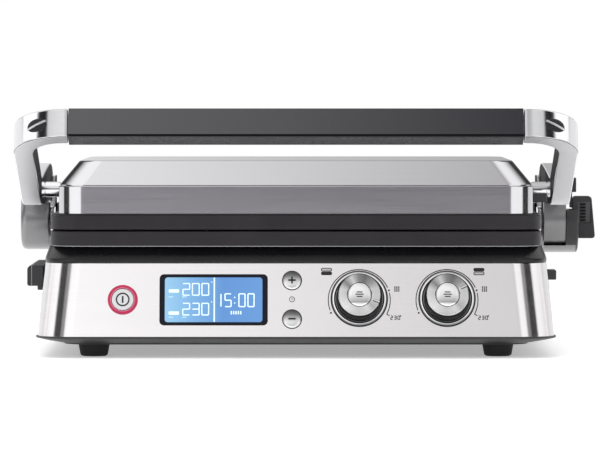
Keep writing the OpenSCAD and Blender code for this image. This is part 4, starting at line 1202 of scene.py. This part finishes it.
for x, angle, word in ((KNOB_XS[0], -22, "left"), (KNOB_XS[1], 25, "right")):
    center = tuple(mm(*on_panel(x, KNOB_UP)))
    short = word[0]
    body = turned([(3.05, 0.9), (17.2, 0.9), (17.65, 1.4), (17.2, 12.4), (16.9, 13.4), (16.2, 14.4),
                   (9.4, 14.4), (9.4, 8.4), (3.05, 8.4)], sides=DIAL_SIDES)
    finish(set_in_panel(body, x, KNOB_UP), f"knob_{word}_body", f"knob_{short}", "black_plastic", deep_black_and_painted_shade,
           f"knob_{word}")
    face = turned([(9.4, 14.4), (16.15, 14.4), (16.3, 16.0), (15.9, 16.7), (15.2, 17.0), (9.8, 17.0),
                   (9.4, 16.7)], sides=DIAL_SIDES)
    cut(face, swing_out(loose_block(9, 2.0, 16.1, 19), angle, 15.7))
    painted(face, radial_metal(f"radial_brushed_{word}", (0.72, 0.72, 0.72), 0.26, center))
    pointer = painted(swing_out(loose_block(5.6, 1.0, 15.4, 16.7), angle, 13.4, 0.3), key_silver)
    pointer_bed = painted(swing_out(loose_block(5.9, 1.9, 15.4, 16.3), angle, 13.3), ink)
    finish(set_in_panel(joined(face, pointer, pointer_bed), x, KNOB_UP), f"knob_cap_{word}_disc",
           f"knob_{short}", "satin_metal", None, f"knob_cap_{word}")
    press = turned([(0, 10.6), (8.95, 10.6), (8.95, 16.6), (8.6, 16.95), (7.8, 17.1), (5, 17.4), (0, 17.6)])
    # Painted reflection: the push button's metal is painted with a dark band low down and lighter above.
    painted(press, silver_with_painted_reflection(f"sear_{word}_metal", x, KNOB_UP + 4.4, 8.9,
                                 [(0.0, 0.95), (0.09, 0.95), (0.15, 0.34), (0.5, 0.72), (1.0, 0.9)]))
    sear_sign = joined(loose_block(6.4, 0.75, 17.3, 17.72, 0.2),
                       *[flat_bar(0, rise, 4.4, 0.75, 17.3, 17.72) for rise in (1.7, -1.7)])
    finish(set_in_panel(joined(press, painted(sear_sign, ink)), x, KNOB_UP), f"sear_button_{word}_key",
           f"sear_{short}", "satin_metal", None, f"sear_button_{word}")
    # Painted shade: a thin ink ring fills the gap round the push button.
    painted_gap_shade_ring = flat_ring(9.38, 9.02, 15.2, 16.6)
    finish(set_in_panel(painted_gap_shade_ring, x, KNOB_UP), f"knob_{word}_painted_gap_shade_ring", f"knob_{short}", "black_plastic", ink)


# ---- Printed marks on the panel ----
# Fine black ink: a scale arc round each dial with end ticks and dots, the top heat in figures, a grid sign
# for the patterned plates, and two stacked bars that show which plate a dial serves.
def arc_line(radius, start, end, wide, low=0.02, top=0.06):
    """A thin printed arc, spun from one small rectangle."""
    at_rest()
    bpy.ops.mesh.primitive_plane_add(size=1, location=(0, 0, 0))
    piece = put(bpy.context.object, Matrix.Rotation(radians(start), 4, "Z")
                @ Matrix.Translation((radius / 1000, 0, (low + top) / 2000))
                @ Matrix.Rotation(radians(90), 4, "X") @ Matrix.Diagonal((wide / 1000, (top - low) / 1000, 1, 1)))
    edit(piece)
    bpy.ops.mesh.select_all(action="SELECT")
    bpy.ops.mesh.spin(steps=max(6, int((end - start) / 4)), angle=radians(start - end), center=(0, 0, 0),
                      axis=(0, 0, 1))
    choose("EDGE", lambda e: e.is_boundary)
    bpy.ops.mesh.edge_face_add()
    bpy.ops.mesh.select_all(action="SELECT")
    bpy.ops.mesh.normals_make_consistent(inside=False)
    bpy.ops.object.mode_set(mode="OBJECT")
    return piece


pale_ink = printed_ink("grey_ink", (0.42, 0.42, 0.43))


def plate_sign(x, up, filled):
    """Two stacked black bars with round ends, the unfilled one printed over in grey."""
    parts = [painted(flat_bar(x, up + rise, 8.4, 2.7, 0.02, 0.06, 1.2), ink) for rise in (-1.45, 1.45)]
    inlay = flat_bar(x, up + (-1.45 if filled else 1.45), 7.2, 1.5, 0.06, 0.08, 0.7)
    return parts + [painted(inlay, pale_ink)]


for x, word, sign_x, filled in ((KNOB_XS[0], "left", 23.3, 0), (KNOB_XS[1], "right", 139.5, 1)):
    marks = [arc_line(23.6, 24, 200, 0.7), arc_line(23.6, -28, 14, 0.7)]
    for angle in (205, 18.3):
        marks.append(dot(23.8 * cos(radians(angle)), 23.8 * sin(radians(angle)), 0.75))
    marks.append(swing_out(loose_block(2.6, 0.7, 0.02, 0.06), -28, 24.8))
    marks += figures("230", 23.6, -13.8, 2.1, 3.3, 0.62, 2.7, 0.02, 0.06)
    marks.append(dot(31.4, -12.4, 0.55))
    for k in range(3):
        marks.append(flat_bar(28.6, 7.0 + k * 1.5, 4.4, 0.45, 0.02, 0.06))
        marks.append(flat_bar(27.1 + k * 1.5, 8.5, 0.45, 4.4, 0.02, 0.06))
    for mark in marks:
        put(painted(mark, ink), Matrix.Translation((0, -0.0009, 0)))
    marks += plate_sign(sign_x - x, from_panel(65.7) - KNOB_UP, filled)
    finish(set_in_panel(joined(*marks), x, KNOB_UP), f"dial_{word}_marks", "base", "gloss_black", None)
clock = joined(flat_ring(2.2, 1.75, 0.02, 0.06, 32), flat_bar(0, 0.6, 0.4, 1.5, 0.02, 0.06),
               flat_bar(0.5, 0, 1.2, 0.4, 0.02, 0.06))
finish(set_in_panel(clock, TIMER_X, 0.4), "timer_sign", "base", "gloss_black", ink)


# ---- Inner pieces ----
# What lies inside keeps its plain designed shape: boards, heaters, bright reflectors, the insulation pad,
# brackets, springs, screws, rails and axles. Each takes the finish of what it is made of.
zinc = grained_metal("zinc_plating", (0.58, 0.58, 0.60), 0.36, (260, 260, 260), 0.06, 0.08)
board_green = moulded("board_lacquer", (0.03, 0.16, 0.07), 0.3, 0.1, 700)
heat_dark = grained_metal("heat_darkened_sheath", (0.24, 0.22, 0.20), 0.45, (120, 120, 120), 0.1, 0.2)
bright_sheet = grained_metal("bright_sheet", (0.78, 0.78, 0.79), 0.3, (30, 900, 900), 0.08, 0.06)
felt = moulded("felted_fibre", (0.50, 0.44, 0.30), 0.9, 1.0, 500, 0.1)
for paint, nodes in (
        (zinc, ("base_screws", "encoders", "plate_clips", "hinge_axles", "torsion_springs", "grip_core",
                "handle_screws", "pivot_brackets", "lid_screws")),
        (board_green, ("control_board", "power_board")),
        (heat_dark, ("lower_heater", "upper_heater")),
        (bright_sheet, ("lower_reflector", "upper_reflector")),
        (felt, ("insulation_pad",)),
        (black_plastic, ("tray_rails", "lid_frame"))):
    for node in nodes:
        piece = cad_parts[node]
        piece.data.materials.clear()
        piece.data.materials.append(paint)
